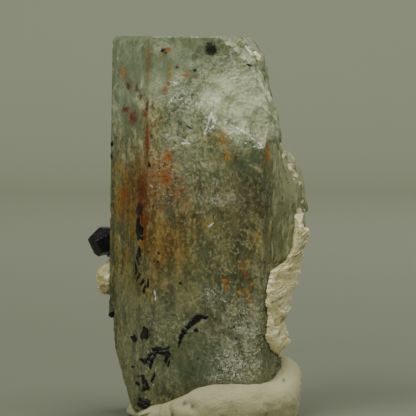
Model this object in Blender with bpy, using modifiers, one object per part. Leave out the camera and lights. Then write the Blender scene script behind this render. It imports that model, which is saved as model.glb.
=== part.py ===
"""Aquamarine prism with fluorite, albite and schorl, stood upright in a lump of display putty.

Units are metres, +Z is up, the front of the specimen faces -Y, and the origin is under the middle
of its box. Each mineral mass is one closed solid. Neighbours keep a small gap to each other.
"""
import math
import random

import bmesh
import bpy
from mathutils import Matrix, Vector, noise

MM = 0.001

# A block large enough to hold every crystal before its faces are cut
BLOCK = 160.0 * MM

# Overall sizes
PRISM_TOP = 50.15 * MM
PRISM_BOTTOM = 1.4 * MM
GAP = 0.15 * MM
# How much further than the gap a swollen copy goes, as its slanted corners move less than asked
SWELL = 1.3
# Points nearer than this are one point
WELD = 0.01 * MM
BOX_CENTRE = (0.4455 * MM, -0.971 * MM)

# Prism faces: compass angle of the face in plan, distance from the axis, outward lean going down
PRISM_FACES = (
    (-90, 8.8 * MM, 0.0),
    (-30, 12.06 * MM, 0.0),
    (30, 7.6 * MM, 0.0),
    (90, 8.8 * MM, 0.2),
    (150, 9.66 * MM, 0.73),
    (210, 9.66 * MM, 0.73),
)
LEAN_HEIGHT = 32.0 * MM

# Small pyramid facets round the top edge: face angle, facet width
TOP_FACETS = (
    (-90, 0.18 * MM),
    (30, 0.35 * MM),
    (90, 0.45 * MM),
    (150, 0.35 * MM),
    (210, 0.25 * MM),
)

# Low sunken steps in the flat top: middle in plan, width and length, in mm
TOP_STEPS = (
    (-6.0, 3.5, 4.0, 5.0),
    (-1.0, -2.0, 5.0, 4.0),
    (0.5, 5.5, 5.0, 3.0),
    (-7.5, -2.0, 2.6, 3.0),
)
TOP_STEP_DEPTH = (0.12 * MM, 0.3 * MM)

# Growth plates that stand proud of a face: face angle, how many
PLATE_COUNTS = ((-90, 5), (90, 8), (150, 6), (210, 5))
PLATE_RISE = (0.1 * MM, 0.28 * MM)
PLATE_ROOM = PLATE_RISE[1] + 0.08 * MM
PLATE_DEPTH = 0.8 * MM
# Lower ends and lengths of the plates
PLATE_FOOT = (7.0 * MM, 26.0 * MM)
PLATE_LENGTH = (9.0 * MM, 21.0 * MM)
# Plates end below the top facets, and in front below the broken shoulder
PLATE_LIMIT = 48.6 * MM
FRONT_PLATE_LIMIT = 33.0 * MM

# Chips along the edges: the two faces that meet, how many
CHIP_COUNTS = ((-90, 210, 4), (210, 150, 3), (150, 90, 6), (90, 30, 5), (30, -30, 2), (-30, -90, 3))
CHIP_SIZE = (0.6 * MM, 1.3 * MM)
# Heights of the chips: on open edges, on the back right edge and on the edges at the right corner
CHIP_HEIGHTS = (9.0 * MM, 48.5 * MM)
BACK_CHIP_HEIGHTS = (36.0 * MM, 47.0 * MM)
CORNER_CHIP_HEIGHTS = (27.0 * MM, 34.0 * MM)
# Etched pits in the faces: face angle, how many
PIT_COUNTS = ((-90, 8), (210, 4), (150, 6), (90, 9), (30, 3))
PIT_SIZE = (0.35 * MM, 0.8 * MM)
PIT_SPREAD = 3.6 * MM
# Heights of the pits: on most faces, on the front and on the back right face above the fluorite
PIT_HEIGHTS = (12.0 * MM, 46.0 * MM)
FRONT_PIT_HEIGHTS = (11.0 * MM, 34.0 * MM)
HIGH_PIT_HEIGHTS = (38.0 * MM, 46.0 * MM)

# The broken shoulder: points on the right corner that each break plane passes, and its slope
SHOULDER_BREAKS = (
    ((5.0 * MM, -4.5 * MM, 50.1 * MM), (0.69, -0.25, 0.69)),
    ((8.0 * MM, -4.5 * MM, 47.3 * MM), (0.93, -0.30, 0.30)),
)
# A break's slab: width, depth, how rough its face is and how long its waves are
BREAK_WIDTH = 30.0 * MM
BREAK_DEPTH = 14.0 * MM
BREAK_RELIEF = 0.35 * MM
BREAK_WAVE = 3.2 * MM
# Shell-shaped hollows that the break left in the front face: centre, radii
SHELL_HOLLOWS = (
    ((5.0 * MM, -11.5 * MM, 43.6 * MM), (8.4 * MM, 4.1 * MM, 8.0 * MM)),
    ((9.4 * MM, -10.6 * MM, 39.2 * MM), (4.4 * MM, 2.9 * MM, 4.6 * MM)),
)

# The cutter of the worn side starts this far out
WORN_REACH = 16.0 * MM
# Worn lower left side, seen from the front: x and z down the edge, in mm
WORN_SIDE = (
    (-11.6, 13.95),
    (-10.76, 12.9),
    (-10.58, 9.05),
    (-10.1, 7.7),
    (-9.57, 5.45),
    (-8.25, 1.7),
    (-7.9, 0.4),
)

# Putty: path of the roll round the foot and its radius at each point, in mm
PUTTY_ROLL = (
    (-6.7, -9.0, 0.3, 1.9),
    (-4.6, -10.3, 0.6, 2.1),
    (-2.0, -10.9, 1.1, 2.3),
    (0.6, -11.1, 2.0, 3.0),
    (4.6, -11.2, 2.2, 3.1),
    (8.2, -10.5, 1.9, 2.9),
    (10.7, -7.8, 2.2, 2.95),
    (11.1, -4.2, 3.6, 2.9),
    (11.0, -0.6, 4.9, 2.9),
    (10.3, 2.4, 4.6, 2.9),
    (7.9, 6.6, 2.6, 3.0),
    (4.0, 9.2, 1.6, 2.9),
    (-2.0, 9.6, 1.2, 2.8),
    (-5.6, 7.2, 0.9, 2.5),
    (-6.7, 1.5, 0.6, 2.2),
    (-6.9, -4.8, 0.4, 2.0),
)
PUTTY_VOXEL = 1.05 * MM
# Finger marks: depth and length of the broad ones and of the fine ones
PRESS_BROAD = (0.3 * MM, 3.6 * MM)
PRESS_FINE = (0.1 * MM, 1.5 * MM)
# What lies below the putty's flat foot is cut by a block of this size
FLOOR_BLOCK = 60.0 * MM
# Pad under the prism and the lump that stands up at the right: centre and radii, in mm
PUTTY_PAD = ((1.6, -0.6, 0.6), (10.3, 10.6, 1.6))
PUTTY_LUMP = ((11.0, -0.8, 5.2), (2.5, 3.6, 3.3))
# Nail marks: centre and radius, in mm
PUTTY_DENTS = (
    (-1.0, -13.7, 3.2, 0.55),
    (-0.2, -13.4, 2.4, 0.5),
    (9.6, -13.2, 2.5, 0.5),
    (12.6, -6.6, 5.4, 0.45),
)

# Fluorite cubes: centre and size, in mm
FLUORITE_CUBES = (
    (11.9, -1.3, 29.0, 4.7),
    (12.4, -2.5, 25.8, 3.5),
    (11.5, 0.9, 25.6, 4.3),
    (11.3, -2.7, 31.9, 3.1),
    (10.9, 0.6, 32.2, 3.4),
    (10.0, 2.6, 28.8, 4.4),
    (9.6, 3.6, 24.8, 3.3),
    (11.3, -3.5, 34.0, 1.5),
    (12.7, 0.6, 28.0, 2.7),
    (13.3, -2.9, 27.9, 1.9),
    (9.0, 4.8, 31.0, 2.4),
    (8.6, 5.2, 27.0, 2.6),
)
CUBE_BEVEL = 0.12

# Albite crust: height, how far right it reaches, how far it laps to the front, in mm
CRUST_PROFILE = (
    (8.4, 11.4, 10.9),
    (9.3, 12.1, 9.8),
    (10.6, 12.7, 9.2),
    (12.6, 12.1, 9.2),
    (15.3, 12.8, 9.2),
    (17.7, 13.7, 9.3),
    (19.6, 14.1, 9.8),
    (20.5, 14.3, 11.6),
    (22.1, 14.6, 12.8),
    (24.8, 14.9, 13.3),
    (26.4, 14.6, 13.9),
)

CRUST_VOXEL = 0.34 * MM
CRUST_KEEP = 0.26
FLAKE_THICKNESS = (1.1, 1.7)
# Lap to the front at which the crust is at its fullest there, in mm
FULL_LAP = 2.2

# The prism's right corner in plan, in mm
RIGHT_CORNER = (11.35, -4.5)

# Lumps of the left patch: centre and radii, in mm
PATCH_LUMPS = (
    (-11.6, 1.6, 18.0, 1.5, 1.5, 1.9),
    (-11.5, 2.6, 16.9, 1.4, 1.6, 1.2),
    (-10.7, 3.6, 19.2, 1.3, 1.5, 1.3),
    (-10.2, 4.8, 17.4, 1.2, 1.4, 1.4),
)

# Schorl rods: name, centre, radius and length in mm, lean about Y and X in degrees
SCHORL_RODS = (
    ("schorl_large", (-12.05, 2.9, 22.9), 2.05, 4.6, (-24.0, 14.0)),
    ("schorl_small", (-10.8, 4.9, 22.2), 1.2, 4.4, (32.0, -30.0)),
)
# Share of a rod's half length at which its sloping end faces meet the axis, and their slope
ROD_END = 0.86
ROD_SLOPE = 0.55

# Small masses: name, centre and radii in mm, lean in degrees, material
SMALL_MASSES = (
    ("schorl_foot_chunk", (-7.2, -8.7, 2.5), (1.15, 1.3, 1.0), (24.0, -16.0), "schorl"),
    ("schorl_edge_grain", (-10.75, -0.9, 13.5), (0.5, 0.5, 0.62), (0.0, 20.0), "schorl"),
    ("fluorite_grain", (5.9, -5.2, 49.2), (0.95, 0.95, 0.75), (0.0, 38.0), "fluorite"),
    ("albite_chip", (8.2, -4.6, 47.5), (0.55, 0.6, 0.55), (10.0, 30.0), "albite"),
)

COLLECTION_NAME = "aquamarine_with_fluorite"


def clear_scene():
    for thing in list(bpy.data.objects):
        bpy.data.objects.remove(thing, do_unlink=True)


def make_collection(name):
    collection = bpy.data.collections.new(name)
    bpy.context.scene.collection.children.link(collection)
    return collection


def make_material(name, colour, roughness):
    material = bpy.data.materials.new(name)
    material.use_nodes = True
    shader = material.node_tree.nodes["Principled BSDF"]
    shader.inputs["Base Color"].default_value = (*colour, 1.0)
    shader.inputs["Roughness"].default_value = roughness
    return material


def add_object(name, mesh_edit, collection, material=None):
    """Turn a finished mesh edit into a named object in its collection."""
    bmesh.ops.recalc_face_normals(mesh_edit, faces=mesh_edit.faces)
    mesh = bpy.data.meshes.new(name)
    mesh_edit.to_mesh(mesh)
    mesh_edit.free()
    thing = bpy.data.objects.new(name, mesh)
    collection.objects.link(thing)
    if material:
        mesh.materials.append(material)
    return thing


def add_tool(name, mesh_edit):
    """A shape that is only joined to or cut from a part."""
    thing = add_object(name, mesh_edit, TOOLS)
    thing.hide_render = True
    thing.display_type = "WIRE"
    return thing


def evaluated_mesh(thing):
    bpy.context.view_layer.update()
    graph = bpy.context.evaluated_depsgraph_get()
    mesh = bpy.data.meshes.new_from_object(thing.evaluated_get(graph))
    mesh.transform(thing.matrix_world)
    return mesh


def settle(thing):
    """Apply the modifiers of an object and merge what they left doubled."""
    material = thing.data.materials[0] if thing.data.materials else None
    mesh = evaluated_mesh(thing)
    thing.modifiers.clear()
    thing.matrix_world = Matrix()
    edit = bmesh.new()
    edit.from_mesh(mesh)
    bmesh.ops.remove_doubles(edit, verts=edit.verts, dist=WELD)
    bmesh.ops.dissolve_degenerate(edit, edges=edit.edges, dist=WELD)
    edit.to_mesh(mesh)
    edit.free()
    mesh.materials.clear()
    if material:
        mesh.materials.append(material)
    thing.data = mesh


def boolean(thing, tool, operation):
    step = thing.modifiers.new(operation.lower(), "BOOLEAN")
    step.operation = operation
    step.solver = "EXACT"
    step.object = tool


def join_all(thing, tools):
    for tool in tools:
        boolean(thing, tool, "UNION")
    settle(thing)


def cut_all(thing, tools):
    for tool in tools:
        boolean(thing, tool, "DIFFERENCE")
    settle(thing)


def slice_off(edit, point, normal):
    """Cut a closed mesh with a plane, drop what lies on the normal's side and close the cut."""
    everything = edit.verts[:] + edit.edges[:] + edit.faces[:]
    cut = bmesh.ops.bisect_plane(edit, geom=everything, plane_co=point, plane_no=normal,
                                 clear_outer=True, dist=1e-7)
    rim = [item for item in cut["geom_cut"] if isinstance(item, bmesh.types.BMEdge)]
    if rim:
        bmesh.ops.edgeloop_fill(edit, edges=rim)


def face_normal(angle, lean=0.0):
    """Outward normal of an upright face; a leaning face looks slightly upwards."""
    turn = math.radians(angle)
    tilt = math.radians(lean)
    flat = Vector((math.cos(turn), math.sin(turn), 0.0))
    return flat * math.cos(tilt) + Vector((0.0, 0.0, math.sin(tilt)))


def prism_block(grow=0.0):
    """The six-sided prism with its flat top, every face moved out by grow."""
    edit = bmesh.new()
    bmesh.ops.create_cube(edit, size=BLOCK)
    for angle, reach, lean in PRISM_FACES:
        normal = face_normal(angle, lean)
        point = face_normal(angle) * (reach + grow) + Vector((0.0, 0.0, LEAN_HEIGHT))
        slice_off(edit, point, normal)
    slice_off(edit, Vector((0.0, 0.0, PRISM_TOP + grow)), Vector((0.0, 0.0, 1.0)))
    slice_off(edit, Vector((0.0, 0.0, PRISM_BOTTOM - grow)), Vector((0.0, 0.0, -1.0)))
    return edit


def worn_side_tool(name, grow=0.0):
    """The outline of the worn lower left side, carried from front to back."""
    edit = bmesh.new()
    outer = -WORN_REACH
    points = [(x * MM - grow, z * MM) for x, z in WORN_SIDE]
    outline = [(outer, points[0][1] + 0.4 * MM)] + points + [(outer, points[-1][1])]
    ring = [edit.verts.new((x, -WORN_REACH, z)) for x, z in outline]
    base = edit.faces.new(ring)
    sweep = bmesh.ops.extrude_face_region(edit, geom=[base])
    moved = [item for item in sweep["geom"] if isinstance(item, bmesh.types.BMVert)]
    bmesh.ops.translate(edit, verts=moved, vec=(0.0, 2.0 * WORN_REACH, 0.0))
    return add_tool(name, edit)


def rough_lump(name, centre, radii, detail=3, bump=0.06, grain=0.45, seed=0, spin=None):
    """A ball stretched to three radii and roughened by noise."""
    edit = bmesh.new()
    bmesh.ops.create_icosphere(edit, subdivisions=detail, radius=1.0)
    offset = Vector((seed * 3.7, seed * 1.3, seed * 2.1))
    for vert in edit.verts:
        swell = 1.0 + bump * noise.noise(vert.co / grain + offset)
        vert.co = vert.co * swell
    bmesh.ops.scale(edit, vec=radii, verts=edit.verts)
    if spin:
        bmesh.ops.rotate(edit, cent=(0.0, 0.0, 0.0), matrix=spin, verts=edit.verts)
    bmesh.ops.translate(edit, vec=centre, verts=edit.verts)
    return add_tool(name, edit)


def break_slab(name, point, normal, seed):
    """A slab whose inner face is a rough break plane through a point."""
    edit = bmesh.new()
    bmesh.ops.create_grid(edit, x_segments=16, y_segments=16, size=BREAK_WIDTH / 2.0)
    for vert in edit.verts:
        vert.co.z = BREAK_RELIEF * noise.noise(vert.co / BREAK_WAVE + Vector((seed, 0.0, seed)))
    sweep = bmesh.ops.extrude_face_region(edit, geom=edit.faces[:])
    moved = [item for item in sweep["geom"] if isinstance(item, bmesh.types.BMVert)]
    for vert in moved:
        vert.co.z = BREAK_DEPTH
    aim = Vector(normal).to_track_quat("Z", "Y").to_matrix()
    bmesh.ops.rotate(edit, cent=(0.0, 0.0, 0.0), matrix=aim, verts=edit.verts)
    bmesh.ops.translate(edit, vec=point, verts=edit.verts)
    return add_tool(name, edit)


def growth_plate(name, angle, along, width, low, high, rise, slant):
    """A thin upright plate on a prism face, its ends cut aslant."""
    reach, lean = next((r, n) for a, r, n in PRISM_FACES if a == angle)
    edit = bmesh.new()
    bmesh.ops.create_cube(edit, size=1.0)
    bmesh.ops.scale(edit, vec=(PLATE_DEPTH, width, high - low), verts=edit.verts)
    half = (high - low) / 2.0
    slice_off(edit, (0.0, 0.0, half * 0.9), Vector((0.25, slant, 1.0)).normalized())
    slice_off(edit, (0.0, 0.0, -half * 0.9), Vector((0.25, slant, -1.0)).normalized())
    bmesh.ops.rotate(edit, cent=(0.0, 0.0, 0.0), matrix=Matrix.Rotation(math.radians(lean), 3, "Y"),
                     verts=edit.verts)
    out = reach + rise - PLATE_DEPTH / 2.0 + math.tan(math.radians(lean)) * (LEAN_HEIGHT - (low + high) / 2.0)
    bmesh.ops.translate(edit, vec=(out, along, (low + high) / 2.0), verts=edit.verts)
    bmesh.ops.rotate(edit, cent=(0.0, 0.0, 0.0), matrix=Matrix.Rotation(math.radians(angle), 3, "Z"),
                     verts=edit.verts)
    return add_tool(name, edit)


def growth_plates():
    """Seeded plates of unlike width, length and rise on the faces that nothing grows on."""
    draw = random.Random(11)
    plates = []
    for angle, count in PLATE_COUNTS:
        span = 4.0 * MM if angle in (90, 150, 210) else 5.5 * MM
        middle = 1.2 * MM if angle == -90 else 0.0
        for index in range(count):
            place = (index + 0.5) / count * 2.0 - 1.0
            along = middle + place * span
            width = draw.uniform(0.7, 1.9) * span / count
            low = draw.uniform(*PLATE_FOOT)
            high = low + draw.uniform(*PLATE_LENGTH)
            high = min(high, FRONT_PLATE_LIMIT if angle == -90 else PLATE_LIMIT)
            rise = draw.uniform(*PLATE_RISE)
            slant = draw.uniform(-0.8, 0.8)
            name = f"plate_{angle % 360}_{index}"
            plates.append(growth_plate(name, angle, along, width, low, high, rise, slant))
    return plates


def edge_point(angle_a, angle_b, height):
    """Where two neighbouring prism faces meet at a height."""
    reach = {a: r + math.tan(math.radians(n)) * (LEAN_HEIGHT - height) for a, r, n in PRISM_FACES}
    na = face_normal(angle_a)
    nb = face_normal(angle_b)
    det = na.x * nb.y - na.y * nb.x
    x = (reach[angle_a] * nb.y - reach[angle_b] * na.y) / det
    y = (na.x * reach[angle_b] - nb.x * reach[angle_a]) / det
    return Vector((x, y, height))


def edge_chips():
    """Small flat-sided chips knocked out of the prism's edges."""
    draw = random.Random(4)
    chips = []
    for first, second, count in CHIP_COUNTS:
        for index in range(count):
            height = draw.uniform(*CHIP_HEIGHTS)
            if -30 in (first, second) or 30 in (first, second):
                height = draw.uniform(*(BACK_CHIP_HEIGHTS if first == 90 else CORNER_CHIP_HEIGHTS))
            size = draw.uniform(*CHIP_SIZE)
            edit = bmesh.new()
            bmesh.ops.create_cube(edit, size=size)
            bmesh.ops.scale(edit, vec=(1.0, 1.0, draw.uniform(1.0, 2.6)), verts=edit.verts)
            turn = Matrix.Rotation(draw.uniform(0.0, math.tau), 3, "Z")
            tip = Matrix.Rotation(draw.uniform(-0.5, 0.5), 3, "X")
            bmesh.ops.rotate(edit, cent=(0.0, 0.0, 0.0), matrix=tip @ turn, verts=edit.verts)
            edge = edge_point(first, second, height)
            outward = Vector((edge.x, edge.y, 0.0)).normalized()
            bmesh.ops.translate(edit, vec=edge + outward * size * 0.3, verts=edit.verts)
            chips.append(add_tool(f"chip_{first % 360}_{index}", edit))
    return chips


def face_pits():
    """Shallow etched pits scattered over the faces."""
    draw = random.Random(23)
    pits = []
    for angle, count in PIT_COUNTS:
        reach, lean = next((r, n) for a, r, n in PRISM_FACES if a == angle)
        for index in range(count):
            height = draw.uniform(*(FRONT_PIT_HEIGHTS if angle == -90 else PIT_HEIGHTS))
            if angle == 30:
                height = draw.uniform(*HIGH_PIT_HEIGHTS)
            size = draw.uniform(*PIT_SIZE)
            along = draw.uniform(-PIT_SPREAD, PIT_SPREAD)
            out = reach + size * 0.55 + math.tan(math.radians(lean)) * (LEAN_HEIGHT - height)
            centre = Matrix.Rotation(math.radians(angle), 3, "Z") @ Vector((out, along, height))
            radii = (size, size * draw.uniform(0.8, 1.3), size * draw.uniform(1.0, 2.0))
            spin = Matrix.Rotation(math.radians(angle), 3, "Z")
            pits.append(rough_lump(f"pit_{angle % 360}_{index}", centre, radii, 1, 0.1, 0.5, index, spin))
    return pits


def top_facets(edit):
    """Narrow sloping facets where the faces meet the flat top."""
    for angle, width in TOP_FACETS:
        reach, lean = next((r, n) for a, r, n in PRISM_FACES if a == angle)
        out = reach - math.tan(math.radians(lean)) * (PRISM_TOP - LEAN_HEIGHT) - width
        point = face_normal(angle) * out + Vector((0.0, 0.0, PRISM_TOP))
        slice_off(edit, point, (face_normal(angle) + Vector((0.0, 0.0, 0.85))).normalized())


def top_steps():
    """Low sunken steps in the flat top."""
    draw = random.Random(8)
    steps = []
    for index, (x, y, wide, long) in enumerate(TOP_STEPS):
        edit = bmesh.new()
        bmesh.ops.create_cone(edit, cap_ends=True, segments=6, radius1=0.5, radius2=0.5, depth=1.0)
        bmesh.ops.scale(edit, vec=(wide * MM, long * MM, MM), verts=edit.verts)
        spin = Matrix.Rotation(draw.uniform(-0.1, 0.1), 3, "Z")
        bmesh.ops.rotate(edit, cent=(0.0, 0.0, 0.0), matrix=spin, verts=edit.verts)
        sunk = draw.uniform(*TOP_STEP_DEPTH)
        bmesh.ops.translate(edit, vec=(x * MM, y * MM, PRISM_TOP + MM / 2.0 - sunk), verts=edit.verts)
        steps.append(add_tool(f"top_step_{index}", edit))
    return steps


def make_prism():
    edit = prism_block()
    top_facets(edit)
    prism = add_object("aquamarine_prism", edit, PARTS, AQUAMARINE)
    join_all(prism, growth_plates())
    breaks = [break_slab(f"shoulder_break_{i}", p, n, i + 1) for i, (p, n) in enumerate(SHOULDER_BREAKS)]
    hollows = [rough_lump(f"shell_hollow_{i}", c, r, 4 - i, 0.07, 0.35, i + 2)
               for i, (c, r) in enumerate(SHELL_HOLLOWS)]
    cut_all(prism, breaks + hollows + [worn_side_tool("worn_side")])
    cut_all(prism, top_steps() + edge_chips() + face_pits())
    keep_largest(prism)
    return prism


def grown_copy(thing, name, distance):
    """A copy of a finished solid, swollen along its normals, that cuts its neighbour clear."""
    mesh = evaluated_mesh(thing)
    edit = bmesh.new()
    edit.from_mesh(mesh)
    bpy.data.meshes.remove(mesh)
    edit.normal_update()
    for vert in edit.verts:
        vert.co += vert.normal * distance * SWELL
    return add_tool(name, edit)


def clearance_form(name, grow=GAP):
    """The prism as its neighbours see it: a little larger, and worn on the same side."""
    form = add_tool(name, prism_block(grow))
    cut_all(form, [worn_side_tool(name + "_worn_side", grow)])
    return form


def in_mm(values):
    """A centre or a set of radii given in mm, in metres."""
    return tuple(value * MM for value in values)


def crystal_cube(name, centre, size, spin, stretch):
    """One fluorite cube with narrow bevelled edges."""
    edit = bmesh.new()
    bmesh.ops.create_cube(edit, size=size)
    bmesh.ops.scale(edit, vec=(1.0, 1.0, stretch), verts=edit.verts)
    bmesh.ops.bevel(edit, geom=edit.edges[:], offset=size * CUBE_BEVEL, segments=1, affect="EDGES")
    bmesh.ops.rotate(edit, cent=(0.0, 0.0, 0.0), matrix=spin, verts=edit.verts)
    bmesh.ops.translate(edit, vec=centre, verts=edit.verts)
    return add_tool(name, edit)


def make_fluorite():
    """Intergrown cubes that grip the right corner of the prism, widest near the middle."""
    draw = random.Random(31)
    cubes = []
    for index, (x, y, z, size) in enumerate(FLUORITE_CUBES):
        turn = Matrix.Rotation(math.radians(draw.uniform(-16.0, 16.0)), 3, "Y")
        twist = Matrix.Rotation(math.radians(20.0 + draw.uniform(-9.0, 9.0)), 3, "Z")
        stretch = draw.uniform(1.0, 1.35)
        cubes.append(crystal_cube(f"cube_{index}", in_mm((x, y, z)), size * MM, twist @ turn, stretch))
    fluorite = add_object("fluorite_mass", bmesh_of(cubes[0]), PARTS, FLUORITE)
    join_all(fluorite, cubes[1:])
    cut_all(fluorite, [clearance_form("fluorite_seat")])
    keep_largest(fluorite)
    return fluorite


def bmesh_of(thing):
    edit = bmesh.new()
    edit.from_mesh(thing.data)
    return edit


def keep_largest(thing):
    """Drop the crumbs that a cut leaves inside or behind, and keep the main body."""
    edit = bmesh_of(thing)
    left = set(edit.faces)
    groups = []
    while left:
        stack = [left.pop()]
        group = list(stack)
        while stack:
            for edge in stack.pop().edges:
                for face in edge.link_faces:
                    if face in left:
                        left.discard(face)
                        group.append(face)
                        stack.append(face)
        groups.append(group)
    groups.sort(key=len, reverse=True)
    spare = [face for group in groups[1:] for face in group]
    bmesh.ops.delete(edit, geom=spare, context="FACES")
    edit.to_mesh(thing.data)
    edit.free()


def flake(name, centre, radius, thick, spin, seed):
    """A thin albite flake: a flattened seven-sided lump with an uneven rim."""
    edit = bmesh.new()
    bmesh.ops.create_uvsphere(edit, u_segments=8, v_segments=5, radius=1.0)
    offset = Vector((seed * 1.9, seed * 0.7, 3.1))
    for vert in edit.verts:
        vert.co *= 1.0 + 0.34 * noise.noise(vert.co * 1.2 + offset)
    bmesh.ops.scale(edit, vec=(radius, radius * 0.95, thick / 2.0), verts=edit.verts)
    bmesh.ops.rotate(edit, cent=(0.0, 0.0, 0.0), matrix=spin, verts=edit.verts)
    bmesh.ops.translate(edit, vec=centre, verts=edit.verts)
    return add_tool(name, edit)


def crust_profile(height):
    """How far right the crust reaches and how far it laps to the front, at a height in mm."""
    for (z0, out0, front0), (z1, out1, front1) in zip(CRUST_PROFILE, CRUST_PROFILE[1:]):
        if z0 <= height <= z1:
            share = (height - z0) / (z1 - z0)
            return out0 + (out1 - out0) * share, front0 + (front1 - front0) * share
    return CRUST_PROFILE[-1][1:]


def crust_lap(front):
    """Share of the full lap that the crust has, from how far to the front it starts."""
    return max(0.0, min(1.0, (RIGHT_CORNER[0] - front) / FULL_LAP))


def make_crust(neighbours):
    """Level ledges of fused flakes down the right flank, from the front edge round to the back."""
    draw = random.Random(17)
    flakes = []
    height = CRUST_PROFILE[0][0] + 0.5
    index = 0
    while height < CRUST_PROFILE[-1][0] - 0.2:
        out, front = crust_profile(height)
        thick = draw.uniform(*FLAKE_THICKNESS)
        rim = out + draw.uniform(-0.35, 0.25)
        spots = crust_row(front, rim)
        for spot, radius in spots:
            lift = height + draw.uniform(-0.35, 0.35)
            tilt = Matrix.Rotation(draw.uniform(-0.22, 0.22), 3, "X")
            lean = Matrix.Rotation(draw.uniform(-0.1, 0.3), 3, "Y")
            centre = in_mm((spot[0], spot[1], lift))
            flakes.append(flake(f"flake_{index}", centre, radius * MM * draw.uniform(0.92, 1.1),
                                thick * MM * 1.25, tilt @ lean, index))
            index += 1
        height += thick * 0.82
    body = crust_core()
    for piece in flakes:
        body.from_mesh(piece.data)
    crust = add_object("albite_crust", body, PARTS, ALBITE)
    grow_together(crust, CRUST_VOXEL, CRUST_KEEP)
    cut_all(crust, [clearance_form("crust_seat")] + neighbours)
    keep_largest(crust)
    return crust


def grow_together(thing, voxel, keep=1.0):
    """Make one skin over the overlapping shells of an object, then thin its faces."""
    skin = thing.modifiers.new("one skin", "REMESH")
    skin.mode = "VOXEL"
    skin.voxel_size = voxel
    if keep < 1.0:
        thin = thing.modifiers.new("fewer faces", "DECIMATE")
        thin.ratio = keep
    settle(thing)


def crust_core():
    """The thin body that carries the flakes: an upright wrap round the right corner."""
    corner_x, corner_y = RIGHT_CORNER
    edit = bmesh.new()
    bmesh.ops.create_cone(edit, cap_ends=True, segments=12, radius1=1.0, radius2=1.0, depth=2.0)
    levels = len(CRUST_PROFILE) - 1
    upright = [edge for edge in edit.edges if abs(edge.verts[0].co.z - edge.verts[1].co.z) > 1.0]
    bmesh.ops.subdivide_edges(edit, edges=upright, cuts=levels - 1)
    low = CRUST_PROFILE[0][0]
    high = CRUST_PROFILE[-1][0]
    for vert in edit.verts:
        height = low + (high - low) * (vert.co.z + 1.0) / 2.0
        out, front = crust_profile(height)
        lap = crust_lap(front)
        reach = out - corner_x - 0.25
        y_half = 2.6 + 1.5 * lap
        x = corner_x - 1.6 + vert.co.x * (1.6 + reach)
        y = corner_y + 1.2 + vert.co.y * y_half - 0.6 * lap
        slant = min(0.0, y - corner_y) * 0.5
        vert.co = Vector(((x + slant) * MM, y * MM, height * MM))
    return edit


def crust_row(front, rim):
    """Centres and radii of one ledge: along the right-front face, the corner and the back face."""
    corner_x, corner_y = RIGHT_CORNER
    thickness = rim - corner_x
    row = []
    lap = crust_lap(front)
    if lap > 0.2:
        row.append(((corner_x - 1.75 * lap + 0.3, corner_y - 3.2 * lap - 0.15), 0.7 + 0.5 * lap))
        row.append(((corner_x - 0.9 * lap + 0.35, corner_y - 1.7 * lap - 0.2), 1.0 + 0.5 * lap))
    radius = 1.35 + 0.3 * max(0.0, thickness)
    row.append(((rim - radius, corner_y + 0.9), radius))
    row.append(((rim - radius - 0.7, corner_y + 3.0), radius * 1.05))
    row.append(((rim - radius - 1.9, corner_y + 5.2), radius))
    return row


def make_patch():
    """The cream patch on the left, a few fused lumps."""
    lumps = [rough_lump(f"patch_lump_{i}", in_mm(values[:3]), in_mm(values[3:]), 2, 0.3, 0.6, i)
             for i, values in enumerate(PATCH_LUMPS)]
    patch = add_object("albite_patch", bmesh_of(lumps[0]), PARTS, ALBITE)
    join_all(patch, lumps[1:])
    cut_all(patch, [clearance_form("patch_seat", PLATE_ROOM)])
    keep_largest(patch)
    return patch


def schorl_rod(name, centre, radius, length, spin):
    """A short six-sided rod with three sloping faces at each end."""
    edit = bmesh.new()
    bmesh.ops.create_cone(edit, cap_ends=True, segments=6, radius1=radius, radius2=radius, depth=length)
    for index in range(3):
        turn = math.tau * index / 3.0 + 0.4
        flat = Vector((math.cos(turn), math.sin(turn), 0.0)) * ROD_SLOPE
        for end in (1.0, -1.0):
            point = Vector((0.0, 0.0, end * length / 2.0 * ROD_END))
            slice_off(edit, point, (flat + Vector((0.0, 0.0, end))).normalized())
    bmesh.ops.rotate(edit, cent=(0.0, 0.0, 0.0), matrix=spin, verts=edit.verts)
    bmesh.ops.translate(edit, vec=centre, verts=edit.verts)
    return add_tool(name, edit)


def make_schorl():
    """The black crystal behind the left edge: a leaning rod with a smaller one grown into it."""
    rods = []
    for name, centre, radius, length, lean in SCHORL_RODS:
        about_y = Matrix.Rotation(math.radians(lean[0]), 3, "Y")
        about_x = Matrix.Rotation(math.radians(lean[1]), 3, "X")
        rods.append(schorl_rod(name, in_mm(centre), radius * MM, length * MM, about_y @ about_x))
    schorl = add_object("schorl_crystal", bmesh_of(rods[0]), PARTS, SCHORL)
    join_all(schorl, rods[1:])
    cut_all(schorl, [clearance_form("schorl_seat", PLATE_ROOM)])
    keep_largest(schorl)
    return schorl


def make_small_masses(prism):
    """The chunk at the foot, the grain in the left notch and the two grains on the shoulder."""
    masses = []
    for name, centre, radii, spin, material in SMALL_MASSES:
        edit = bmesh.new()
        bmesh.ops.create_cone(edit, cap_ends=True, segments=6, radius1=1.0, radius2=0.8, depth=2.0)
        bmesh.ops.bevel(edit, geom=edit.edges[:], offset=0.22, segments=1, affect="EDGES")
        bmesh.ops.scale(edit, vec=in_mm(radii), verts=edit.verts)
        turn = Matrix.Rotation(math.radians(spin[0]), 3, "X") @ Matrix.Rotation(math.radians(spin[1]), 3, "Y")
        bmesh.ops.rotate(edit, cent=(0.0, 0.0, 0.0), matrix=turn, verts=edit.verts)
        bmesh.ops.translate(edit, vec=in_mm(centre), verts=edit.verts)
        mass = add_object(name, edit, PARTS, MATERIALS[material])
        cut_all(mass, [grown_copy(prism, name + "_seat", GAP)])
        keep_largest(mass)
        masses.append(mass)
    return masses


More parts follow.
